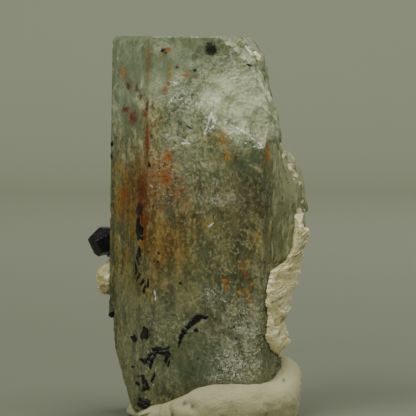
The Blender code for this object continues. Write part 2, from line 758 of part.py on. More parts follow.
def make_putty(neighbours):
    """A roll of putty pressed round the foot of the prism, higher at the right, flat below."""
    path = bpy.data.curves.new("putty_roll", "CURVE")
    path.dimensions = "3D"
    path.bevel_depth = 1.0
    path.bevel_resolution = 5
    path.use_fill_caps = True
    line = path.splines.new("POLY")
    line.points.add(len(PUTTY_ROLL) - 1)
    for point, (x, y, z, radius) in zip(line.points, PUTTY_ROLL):
        point.co = (x * MM, y * MM, z * MM, 1.0)
        point.radius = radius * MM
    line.use_cyclic_u = True
    roll = bpy.data.objects.new("putty_roll", path)
    bpy.context.scene.collection.objects.link(roll)
    edit = bmesh.new()
    edit.from_mesh(evaluated_mesh(roll))
    bpy.data.objects.remove(roll)
    bmesh.ops.remove_doubles(edit, verts=edit.verts, dist=WELD)
    tube = add_tool("putty_tube", edit)
    pad = rough_lump("putty_pad", in_mm(PUTTY_PAD[0]), in_mm(PUTTY_PAD[1]), 4, 0.02)
    lump = rough_lump("putty_lump", in_mm(PUTTY_LUMP[0]), in_mm(PUTTY_LUMP[1]), 3, 0.05)
    putty = add_object("display_putty", bmesh_of(tube), PARTS, PUTTY)
    join_all(putty, [pad, lump])
    grow_together(putty, PUTTY_VOXEL)
    soften = putty.modifiers.new("soften", "SMOOTH")
    soften.factor = 0.5
    soften.iterations = 4
    settle(putty)
    press_by_hand(putty)
    below = bmesh.new()
    bmesh.ops.create_cube(below, size=FLOOR_BLOCK)
    bmesh.ops.translate(below, vec=(0.0, 0.0, -FLOOR_BLOCK / 2.0), verts=below.verts)
    dents = [rough_lump(f"dent_{i}", in_mm((x, y, z)), in_mm((r, r, r)), 1, 0.1)
             for i, (x, y, z, r) in enumerate(PUTTY_DENTS)]
    cut_all(putty, [add_tool("below_putty", below), clearance_form("putty_socket")] + neighbours + dents)
    keep_largest(putty)
    return putty


def press_by_hand(putty):
    """Low finger marks over the putty's skin."""
    for vert in putty.data.vertices:
        push = sum(depth * noise.noise(vert.co / length) for depth, length in (PRESS_BROAD, PRESS_FINE))
        vert.co = vert.co + vert.normal * push


def stand_over_origin():
    """Move every part so that the specimen's box is centred on the origin and stands on it."""
    shift = Vector((-BOX_CENTRE[0], -BOX_CENTRE[1], 0.0))
    for thing in PARTS.objects:
        thing.data.transform(Matrix.Translation(shift))


def main():
    prism = make_prism()
    fluorite = make_fluorite()
    patch = make_patch()
    schorl = make_schorl()
    masses = make_small_masses(prism)
    crust = make_crust([grown_copy(fluorite, "crust_room", GAP)])
    cut_all(patch, [grown_copy(schorl, "patch_room", GAP)])
    keep_largest(patch)
    around = [grown_copy(thing, thing.name + "_room", GAP) for thing in (crust, fluorite, patch, masses[0])]
    make_putty(around)
    stand_over_origin()


clear_scene()
PARTS = make_collection(COLLECTION_NAME)
TOOLS = make_collection("cutters")
AQUAMARINE = make_material("aquamarine", (0.30, 0.35, 0.24), 0.12)
FLUORITE = make_material("fluorite", (0.42, 0.45, 0.30), 0.2)
ALBITE = make_material("albite", (0.68, 0.61, 0.42), 0.7)
SCHORL = make_material("schorl", (0.012, 0.014, 0.012), 0.2)
PUTTY = make_material("putty", (0.45, 0.39, 0.27), 0.85)
MATERIALS = {"fluorite": FLUORITE, "albite": ALBITE, "schorl": SCHORL}
main()
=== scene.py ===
"""Looks of an aquamarine prism with fluorite, albite and schorl, stood in a lump of display putty.

Shapes are worked out in millimetres in the maker's frame, whose X zero is the prism's axis, and
place() turns them into metres over the origin. The front of the specimen faces -Y.
"""
import itertools
import math
import random

import bpy
import numpy as np
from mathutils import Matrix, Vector


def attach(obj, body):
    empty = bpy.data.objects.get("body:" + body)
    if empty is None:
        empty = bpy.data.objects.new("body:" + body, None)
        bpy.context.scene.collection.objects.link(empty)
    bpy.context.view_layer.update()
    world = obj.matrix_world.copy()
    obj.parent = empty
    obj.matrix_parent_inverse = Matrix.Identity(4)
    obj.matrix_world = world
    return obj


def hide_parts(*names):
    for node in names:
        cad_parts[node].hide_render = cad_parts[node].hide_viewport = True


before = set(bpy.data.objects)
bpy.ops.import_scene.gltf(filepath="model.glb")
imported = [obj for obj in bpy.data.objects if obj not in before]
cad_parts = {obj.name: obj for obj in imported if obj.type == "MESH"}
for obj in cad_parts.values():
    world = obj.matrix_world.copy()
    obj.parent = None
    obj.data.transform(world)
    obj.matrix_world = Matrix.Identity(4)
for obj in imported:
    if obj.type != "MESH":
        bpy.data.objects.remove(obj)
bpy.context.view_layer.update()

MM = 0.001
# How far the maker's frame is moved so that the specimen's box stands over the origin, in mm
BOX_SHIFT = np.array((0.4455, -0.971, 0.0))

# Prism: compass angle of each face in plan, distance from the axis, outward lean going down
FACE_ANGLES = np.radians((-90.0, -30.0, 30.0, 90.0, 150.0, 210.0))
FACE_REACH = np.array((8.8, 12.06, 7.6, 8.8, 9.66, 9.66))
FACE_LEAN = np.radians((0.0, 0.0, 0.0, 0.2, 0.73, 0.73))
LEAN_HEIGHT = 32.0
PRISM_TOP = 50.15
PRISM_BOTTOM = 1.4
FACE_NORMALS = np.stack((np.cos(FACE_ANGLES), np.sin(FACE_ANGLES)), axis=1)
FRONT, RIGHT_FRONT, RIGHT_BACK, BACK, LEFT_BACK, LEFT_FRONT = range(6)
FACE_COLUMNS = (112, 36, 60, 52, 50, 62)
PRISM_ROWS = 240
# Sizes of the rings that close the two ends, against the outermost one
END_RINGS = (0.985, 0.955, 0.91, 0.85, 0.78, 0.7, 0.6, 0.5, 0.4, 0.3, 0.2, 0.1)

# Planes of the broken shoulder: a point and the outward way
SHOULDER_BREAKS = (
    ((5.0, -4.5, 50.1), (0.69, -0.25, 0.69)), ((8.0, -4.5, 47.3), (0.93, -0.30, 0.30)),
)
# Shell-shaped hollows of the break: centre and half sizes
SHELL_HOLLOWS = (
    ((5.0, -11.5, 43.6), (8.4, 4.1, 8.0)), ((9.4, -10.6, 39.2), (4.4, 2.9, 4.6)),
)
# Where the blow fell that broke the shoulder
BLOW = (9.5, -9.0, 49.0)
# Narrow facets at the flat top: compass angle and width, all with one slope
TOP_FACETS = ((-90, 0.16), (30, 0.35), (90, 0.4), (150, 0.5), (210, 0.42))
TOP_FACET_SLOPE = 0.85
# Outline of the worn left side, from the top down
WORN_SIDE_X = (-11.6, -10.76, -10.58, -10.1, -9.57, -8.25, -7.9)
WORN_SIDE_Z = (13.95, 12.9, 9.05, 7.7, 5.45, 1.7, 0.4)
# The crystal's right corner in plan, and the ways the two faces run from it
RIGHT_CORNER = np.array((11.35, -4.5))
RIGHT_FRONT_SLOPE = 1.732
RIGHT_BACK_WAY = np.array((-0.5, 0.866))


def hashed(cells, seed):
    """Whole-number cells to repeatable numbers from -1 to 1, by multiplying and mixing bits."""
    key = cells[..., 0] * 73856093 ^ cells[..., 1] * 19349663 ^ cells[..., 2] * 83492791
    key = (key ^ (seed * 668265263)) & 0xFFFFFFFF
    key = ((key ^ (key >> 15)) * 2246822519) & 0xFFFFFFFF
    key = ((key ^ (key >> 13)) * 3266489917) & 0xFFFFFFFF
    return ((key ^ (key >> 16)) & 0xFFFF) / 32767.5 - 1.0


def noise(points, seed=0):
    """Smooth noise: hashed cell corners blended by 3t^2 - 2t^3 on each axis."""
    cell = np.floor(points).astype(np.int64)
    part = points - cell
    blend = part * part * (3.0 - 2.0 * part)
    total = np.zeros(points.shape[:-1])
    for corner in itertools.product((0, 1), repeat=3):
        side = np.array(corner)
        weight = np.prod(np.where(side == 1, blend, 1.0 - blend), axis=-1)
        total += weight * hashed(cell + side, seed)
    return total


def layered(points, octaves=4, seed=0, fade=0.5):
    """Sum of noise at doubling fineness and fading strength."""
    total = np.zeros(points.shape[:-1])
    strength = 1.0
    for octave in range(octaves):
        total += strength * noise(points * 2.0 ** octave, seed + octave)
        strength *= fade
    return total


def smooth_step(low, high, value):
    """0 below low, 1 above high, 3t^2 - 2t^3 between."""
    t = np.clip((value - low) / (high - low), 0.0, 1.0)
    return t * t * (3.0 - 2.0 * t)


def plates(u, v, seed):
    """Overlapping plates: the nearest scattered point gives each plate its own lift and lean."""
    cell = np.stack(np.broadcast_arrays(np.floor(u), np.floor(v), 0.0 * u), axis=-1).astype(np.int64)
    nearest = np.full(cell.shape[:-1], np.inf)
    lift = np.zeros(cell.shape[:-1])
    for step in itertools.product((-1, 0, 1), repeat=2):
        near = cell + np.array((*step, 0))
        along = u - near[..., 0] - 0.5 - 0.45 * hashed(near, seed)
        across = v - near[..., 1] - 0.5 - 0.45 * hashed(near, seed + 1)
        away = along ** 2 + across ** 2
        own = hashed(near, seed + 2) + (0.9 + hashed(near, seed + 3)) * across
        lift = np.where(away < nearest, own, lift)
        nearest = np.minimum(nearest, away)
    return lift


def place(points):
    """Millimetres in the maker's frame to metres over the origin."""
    return (points - BOX_SHIFT) * MM


def grid_faces(rows, columns, wrap=True):
    """Quads of a grid of rows by columns; the last column joins the first when it wraps."""
    row = np.arange(rows - 1)[:, None]
    column = np.arange(columns if wrap else columns - 1)[None, :]
    after = (column + 1) % columns
    a = row * columns + column
    b = row * columns + after
    c = (row + 1) * columns + after
    d = (row + 1) * columns + column
    return np.stack((a, b, c, d), axis=-1).reshape(-1, 4)


def fan_faces(ring, centre, outward):
    """Triangles from a ring of points to one centre point."""
    after = np.roll(ring, -1)
    middle = np.full(len(ring), centre)
    if outward:
        return np.stack((ring, after, middle), axis=1)
    return np.stack((after, ring, middle), axis=1)


def make_closed(name, rings, sharp=None, attributes=None):
    """Closed skins from rings stacked upwards, each ring anticlockwise seen from above.

    The rings of one skin are rows by columns of points. Many skins of the same grid, with one
    more axis in front, make one mesh.
    """
    rows, columns = rings.shape[-3:-1]
    count = rows * columns
    many = rings.reshape(-1, rows, columns, 3)
    poles = np.stack((many[:, 0].mean(axis=1), many[:, -1].mean(axis=1)), axis=1)
    points = np.concatenate((many.reshape(-1, count, 3), poles), axis=1)
    low = fan_faces(np.arange(columns), count, False)
    high = fan_faces(np.arange(count - columns, count), count + 1, True)
    step = (np.arange(len(many)) * (count + 2))[:, None, None]
    blocks = (grid_faces(rows, columns), low, high)
    faces = [(block + step).reshape(-1, block.shape[1]) for block in blocks]
    layers = {}
    for key, mask in (attributes or {}).items():
        layers[key] = np.append(mask.ravel(), (mask[0].mean(), mask[-1].mean()))
    return make_mesh(name, place(points.reshape(-1, 3)), faces, sharp, layers)


def make_mesh(name, points, faces, sharp=None, attributes=None):
    """Write arrays of points and faces to a mesh object, with float attributes on the points."""
    mesh = bpy.data.meshes.new(name)
    counts = np.concatenate([np.full(len(block), block.shape[1]) for block in faces])
    loops = np.concatenate([block.ravel() for block in faces]).astype(np.int32)
    starts = np.concatenate(((0,), np.cumsum(counts)[:-1])).astype(np.int32)
    mesh.vertices.add(len(points))
    mesh.vertices.foreach_set("co", np.ascontiguousarray(points, dtype=np.float32).ravel())
    mesh.loops.add(len(loops))
    mesh.loops.foreach_set("vertex_index", loops)
    mesh.polygons.add(len(counts))
    mesh.polygons.foreach_set("loop_start", starts)
    for key, values in (attributes or {}).items():
        layer = mesh.attributes.new(key, "FLOAT", "POINT")
        layer.data.foreach_set("value", np.ascontiguousarray(values, dtype=np.float32).ravel())
    mesh.update(calc_edges=True)
    mesh.validate()
    mesh.shade_smooth()
    if sharp is not None:
        mesh.set_sharp_from_angle(angle=math.radians(sharp))
    piece = bpy.data.objects.new(name, mesh)
    bpy.context.scene.collection.objects.link(piece)
    return piece


def add_piece(piece, finish, slot, *nodes):
    """Give a finished piece its material and body, and hide the nodes it stands for; slot is not used.
    """
    piece.data.materials.append(finish)
    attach(piece, "root")
    if nodes:
        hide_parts(*nodes)


class Wire:
    """A shader socket that reads as a number: arithmetic on it adds Math nodes."""

    def __init__(self, finish, socket):
        self.finish = finish
        self.socket = socket

    def math(self, operation, *others, clamp=False):
        settings = {"operation": operation, "use_clamp": clamp}
        return self.finish.node("ShaderNodeMath", settings, {0: self, **dict(enumerate(others, 1))})

    def __add__(self, other):
        return self.math("ADD", other)

    __radd__ = __add__

    def __mul__(self, other):
        return self.math("MULTIPLY", other)

    __rmul__ = __mul__

    def __sub__(self, other):
        return self.math("SUBTRACT", other)

    def __rsub__(self, other):
        return (self * -1.0) + other

    def clamp(self):
        return self.math("ADD", 0.0, clamp=True)

    def above(self, low, high):
        """0 below low, 1 above high, smooth between."""
        settings = {"interpolation_type": "SMOOTHSTEP"}
        return self.finish.node("ShaderNodeMapRange", settings, {"Value": self, 1: low, 2: high})


class Finish:
    """One node material, built from expressions on wires."""

    def __init__(self, name):
        self.material = bpy.data.materials.new(name)
        self.material.use_nodes = True
        self.tree = self.material.node_tree
        self.tree.nodes.clear()
        self.output = self.tree.nodes.new("ShaderNodeOutputMaterial")
        self.coords = self.node("ShaderNodeTexCoord", {}, {}, "Object")

    def node(self, kind, settings, values, out=0):
        """Add a node: settings first, then its sockets' values or links; gives one output."""
        made = self.tree.nodes.new(kind)
        for key, value in settings.items():
            if key == "stops":
                self.set_stops(made.color_ramp, value)
            else:
                setattr(made, key, value)
        for key, value in values.items():
            self.feed(made.inputs[key], value)
        return Wire(self, made.outputs[out])

    def feed(self, socket, value):
        if isinstance(value, Wire):
            self.tree.links.new(value.socket, socket)
        elif isinstance(value, tuple) and len(value) == 3 and socket.type == "RGBA":
            socket.default_value = (*value, 1.0)
        else:
            socket.default_value = value

    def set_stops(self, ramp, stops):
        while len(ramp.elements) < len(stops):
            ramp.elements.new(0.5)
        for element, (position, colour) in zip(ramp.elements, stops):
            element.position = position
            element.color = (*colour, 1.0)

    def attribute(self, name):
        return self.node("ShaderNodeAttribute", {"attribute_name": name}, {}, "Fac")

    def stretched(self, scale):
        """Object coordinates in millimetres over a scale for each axis."""
        scales = tuple(1000.0 / s for s in scale)
        return self.node("ShaderNodeMapping", {}, {"Vector": self.coords, "Scale": scales})

    def noise(self, scale, detail=3.0, rough=0.55, warp=0.0):
        values = {"Vector": self.stretched(scale), "Scale": 1.0, "Detail": detail,
                  "Roughness": rough, "Distortion": warp}
        return self.node("ShaderNodeTexNoise", {}, values, "Fac")

    def cells(self, scale, feature="F1", warp=0.0):
        """Distance to the nearest cell point or cell edge; warp bends the cells by noise."""
        spot = self.stretched(scale)
        if warp:
            values = {"Vector": spot, "Scale": 1.1, "Detail": 3.0}
            bend = self.node("ShaderNodeTexNoise", {}, values, "Color")
            bend = self.node("ShaderNodeVectorMath", {"operation": "SCALE"}, {0: bend, "Scale": warp})
            spot = self.node("ShaderNodeVectorMath", {"operation": "ADD"}, {0: spot, 1: bend})
        values = {"Vector": spot, "Scale": 1.0}
        return self.node("ShaderNodeTexVoronoi", {"feature": feature}, values, "Distance")

    def blend(self, share, first, second):
        """Colour mix: first where share is 0, second where it is 1."""
        return self.node("ShaderNodeMix", {"data_type": "RGBA"}, {0: share, 6: first, 7: second}, 2)

    def paint(self, tone, *coats):
        """Coats laid over a colour in turn, each a share and a colour."""
        for share, colour in coats:
            tone = self.blend(share, tone, colour)
        return tone

    def bump(self, height, depth):
        values = {"Height": height, "Distance": depth * MM, "Strength": 1.0}
        return self.node("ShaderNodeBump", {}, values)

    def shader(self, **values):
        named = {key.replace("_", " "): value for key, value in values.items()}
        return self.node("ShaderNodeBsdfPrincipled", {}, named)

    def half_clear(self, share, glass, skin, absorb):
        """Clear glass where share is 0, solid skin where it is 1, over an inside that absorbs."""
        mixed = self.node("ShaderNodeMixShader", {}, {0: share, 1: glass, 2: skin})
        return self.close(mixed, absorb)

    def close(self, surface, absorb=None):
        """Link the surface, and the colour and density that the inside absorbs; gives the material."""
        self.tree.links.new(surface.socket, self.output.inputs["Surface"])
        if absorb:
            colour, density = absorb
            volume = self.node("ShaderNodeVolumeAbsorption", {}, {"Color": colour, "Density": density})
            self.tree.links.new(volume.socket, self.output.inputs["Volume"])
        return self.material


def face_reach(height):
    """Distance of each face from the axis at each height, on a last axis of six."""
    return FACE_REACH + np.tan(FACE_LEAN) * (LEAN_HEIGHT - height[..., None])


def corner_between(first, second, height):
    """Plan point where two faces meet: the two line equations solved for each height."""
    reach = face_reach(height)
    na, nb = FACE_NORMALS[first], FACE_NORMALS[second]
    det = na[0] * nb[1] - na[1] * nb[0]
    x = (reach[..., first] * nb[1] - reach[..., second] * na[1]) / det
    y = (na[0] * reach[..., second] - nb[0] * reach[..., first]) / det
    return np.stack((x, y), axis=-1)


def ray_to_ball(direction, height, centre, radii):
    """Where a level ray from the axis first meets an ellipsoid: the smaller root, else infinity."""
    a = ((direction / np.array(radii[:2])) ** 2).sum(-1)
    start = -np.array(centre[:2]) / np.array(radii[:2])
    b = (direction / np.array(radii[:2]) * start).sum(-1)
    c = (start ** 2).sum() + ((height - centre[2]) / radii[2]) ** 2 - 1.0
    inside = b * b - a * c
    root = (-b - np.sqrt(np.maximum(inside, 0.0))) / a
    return np.where((inside > 0.0) & (root > 0.0), root, np.inf)


def edge_balls():
    """Centres and radii of the small shell chips along the edges and the pits in the faces."""
    draw = random.Random(4)
    balls = []
    runs = ((0, 5, 8, 8.0, 30.0), (5, 4, 4, 14.0, 49.0), (4, 3, 14, 8.0, 49.0), (3, 2, 12, 8.0, 48.0),
            (2, 1, 5, 27.0, 37.0), (1, 0, 14, 7.0, 35.0))
    for first, second, count, low, high in runs:
        for _ in range(count):
            height = draw.uniform(low, high)
            corner = corner_between(first, second, np.array(height))
            size = draw.uniform(0.25, 0.8) * draw.uniform(0.5, 1.0)
            outward = corner / np.linalg.norm(corner)
            centre = corner + outward * size * draw.uniform(0.45, 0.8)
            radii = (size, size * draw.uniform(0.8, 1.3), size * draw.uniform(1.0, 3.0))
            balls.append(((centre[0], centre[1], height), radii))
    for face, count, low, high in ((0, 26, 9.0, 34.0), (5, 12, 12.0, 46.0), (4, 18, 12.0, 47.0),
                                   (3, 24, 9.0, 46.0), (2, 14, 36.0, 47.0)):
        for _ in range(count):
            height = draw.uniform(low, high)
            size = draw.uniform(0.25, 0.75)
            reach = face_reach(np.array(height))[face] + size * draw.uniform(0.6, 0.85)
            along = draw.uniform(-4.0, 4.0)
            normal = FACE_NORMALS[face]
            centre = normal * reach + np.array((-normal[1], normal[0])) * along
            radii = (size, size, size * draw.uniform(0.9, 2.4))
            balls.append(((centre[0], centre[1], height), radii))
    return balls


def face_relief(points, along, face, margin):
    """Growth relief: ribs that run up the faces, stepped plates and fine etching, none at corners."""
    key = np.stack((along, np.full_like(along, 7.3) + face * 11.0, points[..., 2]), axis=-1)
    ribs = layered(key * (1.6, 1.0, 0.035), 4, 11) * 0.045
    patches = noise(key * (0.42, 1.0, 0.06), 21) + 0.35 * noise(key * (1.1, 1.0, 0.25), 25)
    steps = np.round(patches * 3.2) / 3.2 * 0.10
    etch = layered(key * (2.6, 1.0, 0.9), 3, 31) * 0.028
    return (ribs + steps) * smooth_step(0.0, 0.5, margin) + etch


def prism_reach(direction, height, detailed=True, balls=()):
    """Distance from the axis to the crystal's skin along level rays, the least of all its limits."""
    facing = direction @ FACE_NORMALS.T
    bare = np.where(facing > 1e-6, face_reach(height) / np.maximum(facing, 1e-6), np.inf)
    face = bare.argmin(axis=-1)
    reach = bare.min(axis=-1)
    points = np.concatenate((direction * reach[..., None], height[..., None]), axis=-1)
    normal = FACE_NORMALS[face]
    if detailed:
        along = points[..., 1] * normal[..., 0] - points[..., 0] * normal[..., 1]
        reach = reach + face_relief(points, along, face, np.partition(bare, 1, axis=-1)[..., 1] - reach)
    for spot, aim in SHOULDER_BREAKS:
        reach = np.minimum(reach, ray_to_plane(direction, height, spot, aim, points, detailed))
    for angle, width in TOP_FACETS:
        turn = math.radians(angle)
        index = int(np.argmin(np.abs(np.cos(FACE_ANGLES - turn) - 1.0)))
        out = FACE_REACH[index] - math.tan(FACE_LEAN[index]) * (PRISM_TOP - LEAN_HEIGHT) - width
        spot = (math.cos(turn) * out, math.sin(turn) * out, PRISM_TOP)
        aim = (math.cos(turn), math.sin(turn), TOP_FACET_SLOPE)
        reach = np.minimum(reach, ray_to_plane(direction, height, spot, aim, points, False))
    for number, (centre, radii) in enumerate(SHELL_HOLLOWS):
        root = ray_to_ball(direction, height, centre, radii)
        if detailed:
            root = root + shell_ripple(points) * (1.0 - 0.3 * number)
        reach = np.minimum(reach, root)
    side = np.interp(height, WORN_SIDE_Z[::-1], WORN_SIDE_X[::-1], right=-99.0)
    limit = np.where(direction[..., 0] < -0.05, side / np.minimum(direction[..., 0], -0.05), np.inf)
    if detailed:
        limit = limit + layered(points * (0.9, 0.9, 0.7), 4, 41) * 0.16
    reach = np.minimum(reach, limit)
    for centre, radii in balls:
        reach = np.minimum(reach, ray_to_ball(direction, height, centre, radii))
    return reach, face, points


def shell_ripple(points):
    """Curved ripples that spread from the blow, over broad uneven noise."""
    away = np.linalg.norm(points - np.array(BLOW), axis=-1)
    broad = layered(points * 0.42, 4, 51) * 0.42
    rings = np.sin(away * 2.6 + 1.6 * noise(points * 0.35, 55)) * 0.07
    return broad + rings


def ray_to_plane(direction, height, spot, aim, points, rough):
    """Where a level ray from the axis meets a plane; a rough plane is lifted by noise."""
    aim = np.array(aim) / np.linalg.norm(aim)
    lift = layered(points * 0.6, 5, 61) * 0.36 if rough else 0.0
    slope = direction @ aim[:2]
    level = aim[0] * spot[0] + aim[1] * spot[1] - aim[2] * (height - spot[2]) + lift
    return np.where(slope > 0.02, level / np.maximum(slope, 0.02), np.inf)


def prism_directions(height):
    """Columns spread along each face between its corners, closer together near the corners."""
    sides = []
    for face, count in enumerate(FACE_COLUMNS):
        share = np.arange(count) / count
        share = 0.8 * share + 0.2 * (0.5 - 0.5 * np.cos(math.pi * share))
        start = corner_between(face - 1, face, height)[:, None, :]
        end = corner_between(face, (face + 1) % 6, height)[:, None, :]
        sides.append(start + (end - start) * share[None, :, None])
    plan = np.concatenate(sides, axis=1)
    return plan / np.linalg.norm(plan, axis=-1, keepdims=True)


# Iron stains on the front: x, z, half width, half height in mm, hue (0 yellow, 1 dark red), strength
STAINS = (
    (-5.4, 31.4, 4.2, 3.6, 0.62, 0.42), (-7.4, 25.5, 2.4, 4.5, 0.7, 0.25),
    (-2.0, 29.8, 2.6, 2.0, 0.7, 0.4), (-9.3, 27.5, 1.6, 3.0, 0.55, 0.35),
    (-3.6, 21.0, 5.0, 6.0, 0.62, 0.18), (4.5, 26.5, 4.5, 4.0, 0.85, 0.2),
    (-6.9, 30.2, 0.9, 2.6, 1.0, 0.9), (-6.95, 27.6, 0.6, 2.4, 1.0, 1.0),
    (-6.55, 24.2, 0.28, 1.8, 0.85, 0.75), (-6.6, 26.0, 0.4, 1.5, 0.85, 1.0),
    (-3.45, 34.5, 0.7, 0.9, 0.5, 0.8), (-3.8, 31.8, 1.0, 1.6, 0.6, 0.75),
    (-4.2, 27.9, 0.55, 0.55, 0.72, 0.85), (-2.4, 31.7, 0.35, 0.4, 0.9, 0.9),
    (-1.65, 31.5, 0.3, 0.3, 0.9, 0.9), (-1.65, 30.1, 0.3, 0.35, 0.85, 0.9),
    (-9.2, 29.2, 0.9, 1.5, 0.68, 0.6), (-6.0, 46.8, 0.45, 2.4, 0.45, 0.62),
    (-6.17, 40.9, 0.2, 1.1, 0.95, 1.0), (-5.5, 41.2, 0.16, 0.8, 0.95, 1.0),
    (-6.4, 40.1, 0.45, 0.6, 0.85, 0.9), (-6.15, 36.4, 0.28, 2.8, 0.75, 0.95),
    (-9.3, 45.3, 0.6, 0.9, 0.3, 0.75), (-8.65, 43.6, 0.35, 0.65, 0.9, 1.0),
    (-7.6, 43.4, 0.28, 0.45, 0.9, 0.9), (-7.0, 42.3, 0.3, 0.35, 0.85, 0.8),
    (-9.1, 40.5, 0.6, 0.55, 0.9, 1.0), (-8.1, 39.5, 0.6, 0.85, 0.85, 1.0),
    (-3.5, 48.4, 0.55, 0.25, 0.5, 1.0), (-4.0, 47.7, 0.3, 0.3, 0.45, 1.0),
    (-3.3, 45.5, 0.28, 1.2, 0.2, 0.7), (-3.5, 44.0, 0.25, 0.25, 0.45, 1.0),
    (-3.9, 43.2, 0.25, 0.5, 0.5, 0.8), (-1.05, 45.1, 0.45, 0.35, 0.4, 1.0),
    (0.25, 44.8, 0.22, 0.22, 0.45, 1.0), (-2.3, 46.2, 0.3, 0.2, 0.95, 0.9),
    (-4.3, 39.6, 0.22, 0.25, 0.95, 0.9), (-1.3, 42.3, 0.16, 0.18, 0.9, 0.9),
    (-0.3, 42.5, 0.16, 0.18, 0.85, 0.9), (3.6, 36.9, 0.8, 1.0, 0.12, 0.75),
    (4.2, 34.6, 0.5, 1.0, 0.12, 0.7), (2.4, 34.2, 0.25, 0.35, 0.12, 0.7),
    (9.45, 35.0, 0.3, 1.7, 0.35, 0.8), (9.4, 34.3, 0.28, 0.7, 0.55, 1.0),
    (5.4, 34.6, 0.22, 0.3, 0.8, 0.9), (8.3, 27.9, 0.2, 0.2, 0.9, 0.8), (9.3, 27.8, 0.2, 0.5, 0.9, 0.8),
    (8.5, 26.9, 0.18, 0.2, 0.9, 0.8), (5.3, 27.1, 0.25, 0.25, 0.8, 0.8),
    (5.2, 26.5, 0.22, 0.22, 0.7, 0.8), (6.4, 21.0, 1.2, 0.6, 0.25, 0.42),
    (6.2, 20.1, 0.5, 0.3, 0.45, 0.9), (6.7, 19.2, 0.42, 0.38, 0.8, 1.0),
    (6.1, 18.7, 0.3, 0.3, 0.85, 0.7), (3.9, 18.4, 0.5, 0.35, 0.4, 0.9),
    (4.1, 17.6, 0.35, 0.7, 0.35, 0.8), (5.9, 16.9, 0.6, 0.25, 0.25, 0.8),
    (6.7, 17.0, 0.45, 0.3, 0.3, 0.8), (7.4, 17.9, 0.25, 0.5, 0.35, 0.9),
    (7.1, 15.8, 0.45, 0.4, 0.15, 0.6), (1.8, 12.4, 0.4, 0.3, 0.4, 0.5), (-3.2, 7.2, 0.2, 0.2, 0.8, 0.5),
    (-8.7, 20.5, 0.5, 0.4, 0.9, 0.3),
)
# Lacy frost and flecks on the front: x, z, half width, half height, strength, as in all that follow
# but the cracks
# Frost also sets where the painted glints and highlight flecks fall
FROSTS = (
    (3.3, 46.2, 3.4, 1.8, 0.6), (0.6, 44.2, 1.6, 1.2, 0.7), (-1.5, 42.5, 2.3, 2.0, 1.0),
    (2.4, 38.8, 1.0, 1.5, 0.8), (6.3, 37.2, 2.8, 1.5, 0.5), (7.2, 46.4, 0.8, 1.1, 0.6),
    (-2.8, 44.0, 0.75, 0.35, 1.0), (-1.6, 36.3, 2.4, 1.0, 0.55), (-8.9, 49.0, 0.7, 0.6, 0.4),
    (-10.6, 37.5, 0.4, 1.6, 0.6), (-2.6, 33.0, 3.4, 5.0, 0.38), (2.9, 28.7, 2.6, 1.0, 0.5),
    (5.2, 7.4, 4.0, 3.2, 0.9), (6.6, 12.6, 2.9, 3.0, 0.65), (8.6, 9.5, 0.9, 3.8, 0.6),
    (2.9, 5.9, 2.4, 1.2, 0.85), (0.2, 11.9, 2.4, 1.6, 0.45), (-3.2, 5.7, 1.4, 1.4, 0.4),
    (-4.4, 13.5, 4.0, 2.0, 0.35), (2.7, 16.6, 1.8, 1.2, 0.5), (9.9, 30.5, 0.9, 3.0, 0.4),
    (-6.5, 7.0, 2.0, 3.4, 0.35), (8.8, 19.0, 1.2, 4.0, 0.35), (10.1, 7.4, 1.3, 2.8, 0.62),
    (-2.75, 44.05, 0.9, 0.4, 1.0), (-1.6, 42.7, 0.8, 0.8, 1.0), (-2.6, 41.6, 1.0, 0.5, 0.9),
    (-0.3, 41.4, 0.9, 0.4, 0.9), (4.2, 47.2, 0.7, 0.9, 0.8), (6.7, 46.8, 0.9, 0.6, 0.9),
)
# Smooth white veils under the skin; the two at x 11.0 are painted light that lifts the shade on the
# crystal's right edge
VEILS_AND_EDGE_LIGHT = (
    (4.6, 43.4, 5.2, 4.6, 1.0), (0.2, 42.6, 2.6, 2.4, 0.55), (8.6, 42.0, 2.4, 5.5, 0.72),
    (6.2, 37.9, 3.6, 2.0, 0.66), (9.8, 37.6, 1.4, 3.0, 0.6), (2.2, 46.9, 2.6, 1.6, 0.4),
    (6.4, 11.5, 3.2, 3.6, 0.2), (3.0, 31.6, 2.4, 2.8, 0.22), (-10.6, 40.0, 0.7, 8.0, 0.25),
    (3.4, 15.4, 1.8, 1.2, 0.3), (-5.6, 43.6, 4.2, 5.0, 0.42), (-7.6, 36.0, 3.6, 3.0, 0.25),
    (-4.0, 48.6, 5.0, 1.6, 0.4), (-9.8, 41.5, 1.4, 6.0, 0.42), (-1.6, 37.8, 3.4, 3.0, 0.38),
    (0.5, 33.4, 2.4, 2.4, 0.25), (-9.4, 49.3, 0.8, 0.7, 0.5), (11.0, 31.0, 0.55, 7.0, 0.6),
    (11.0, 22.0, 0.55, 4.0, 0.5), (-9.3, 47.4, 0.9, 1.2, 0.45),
)
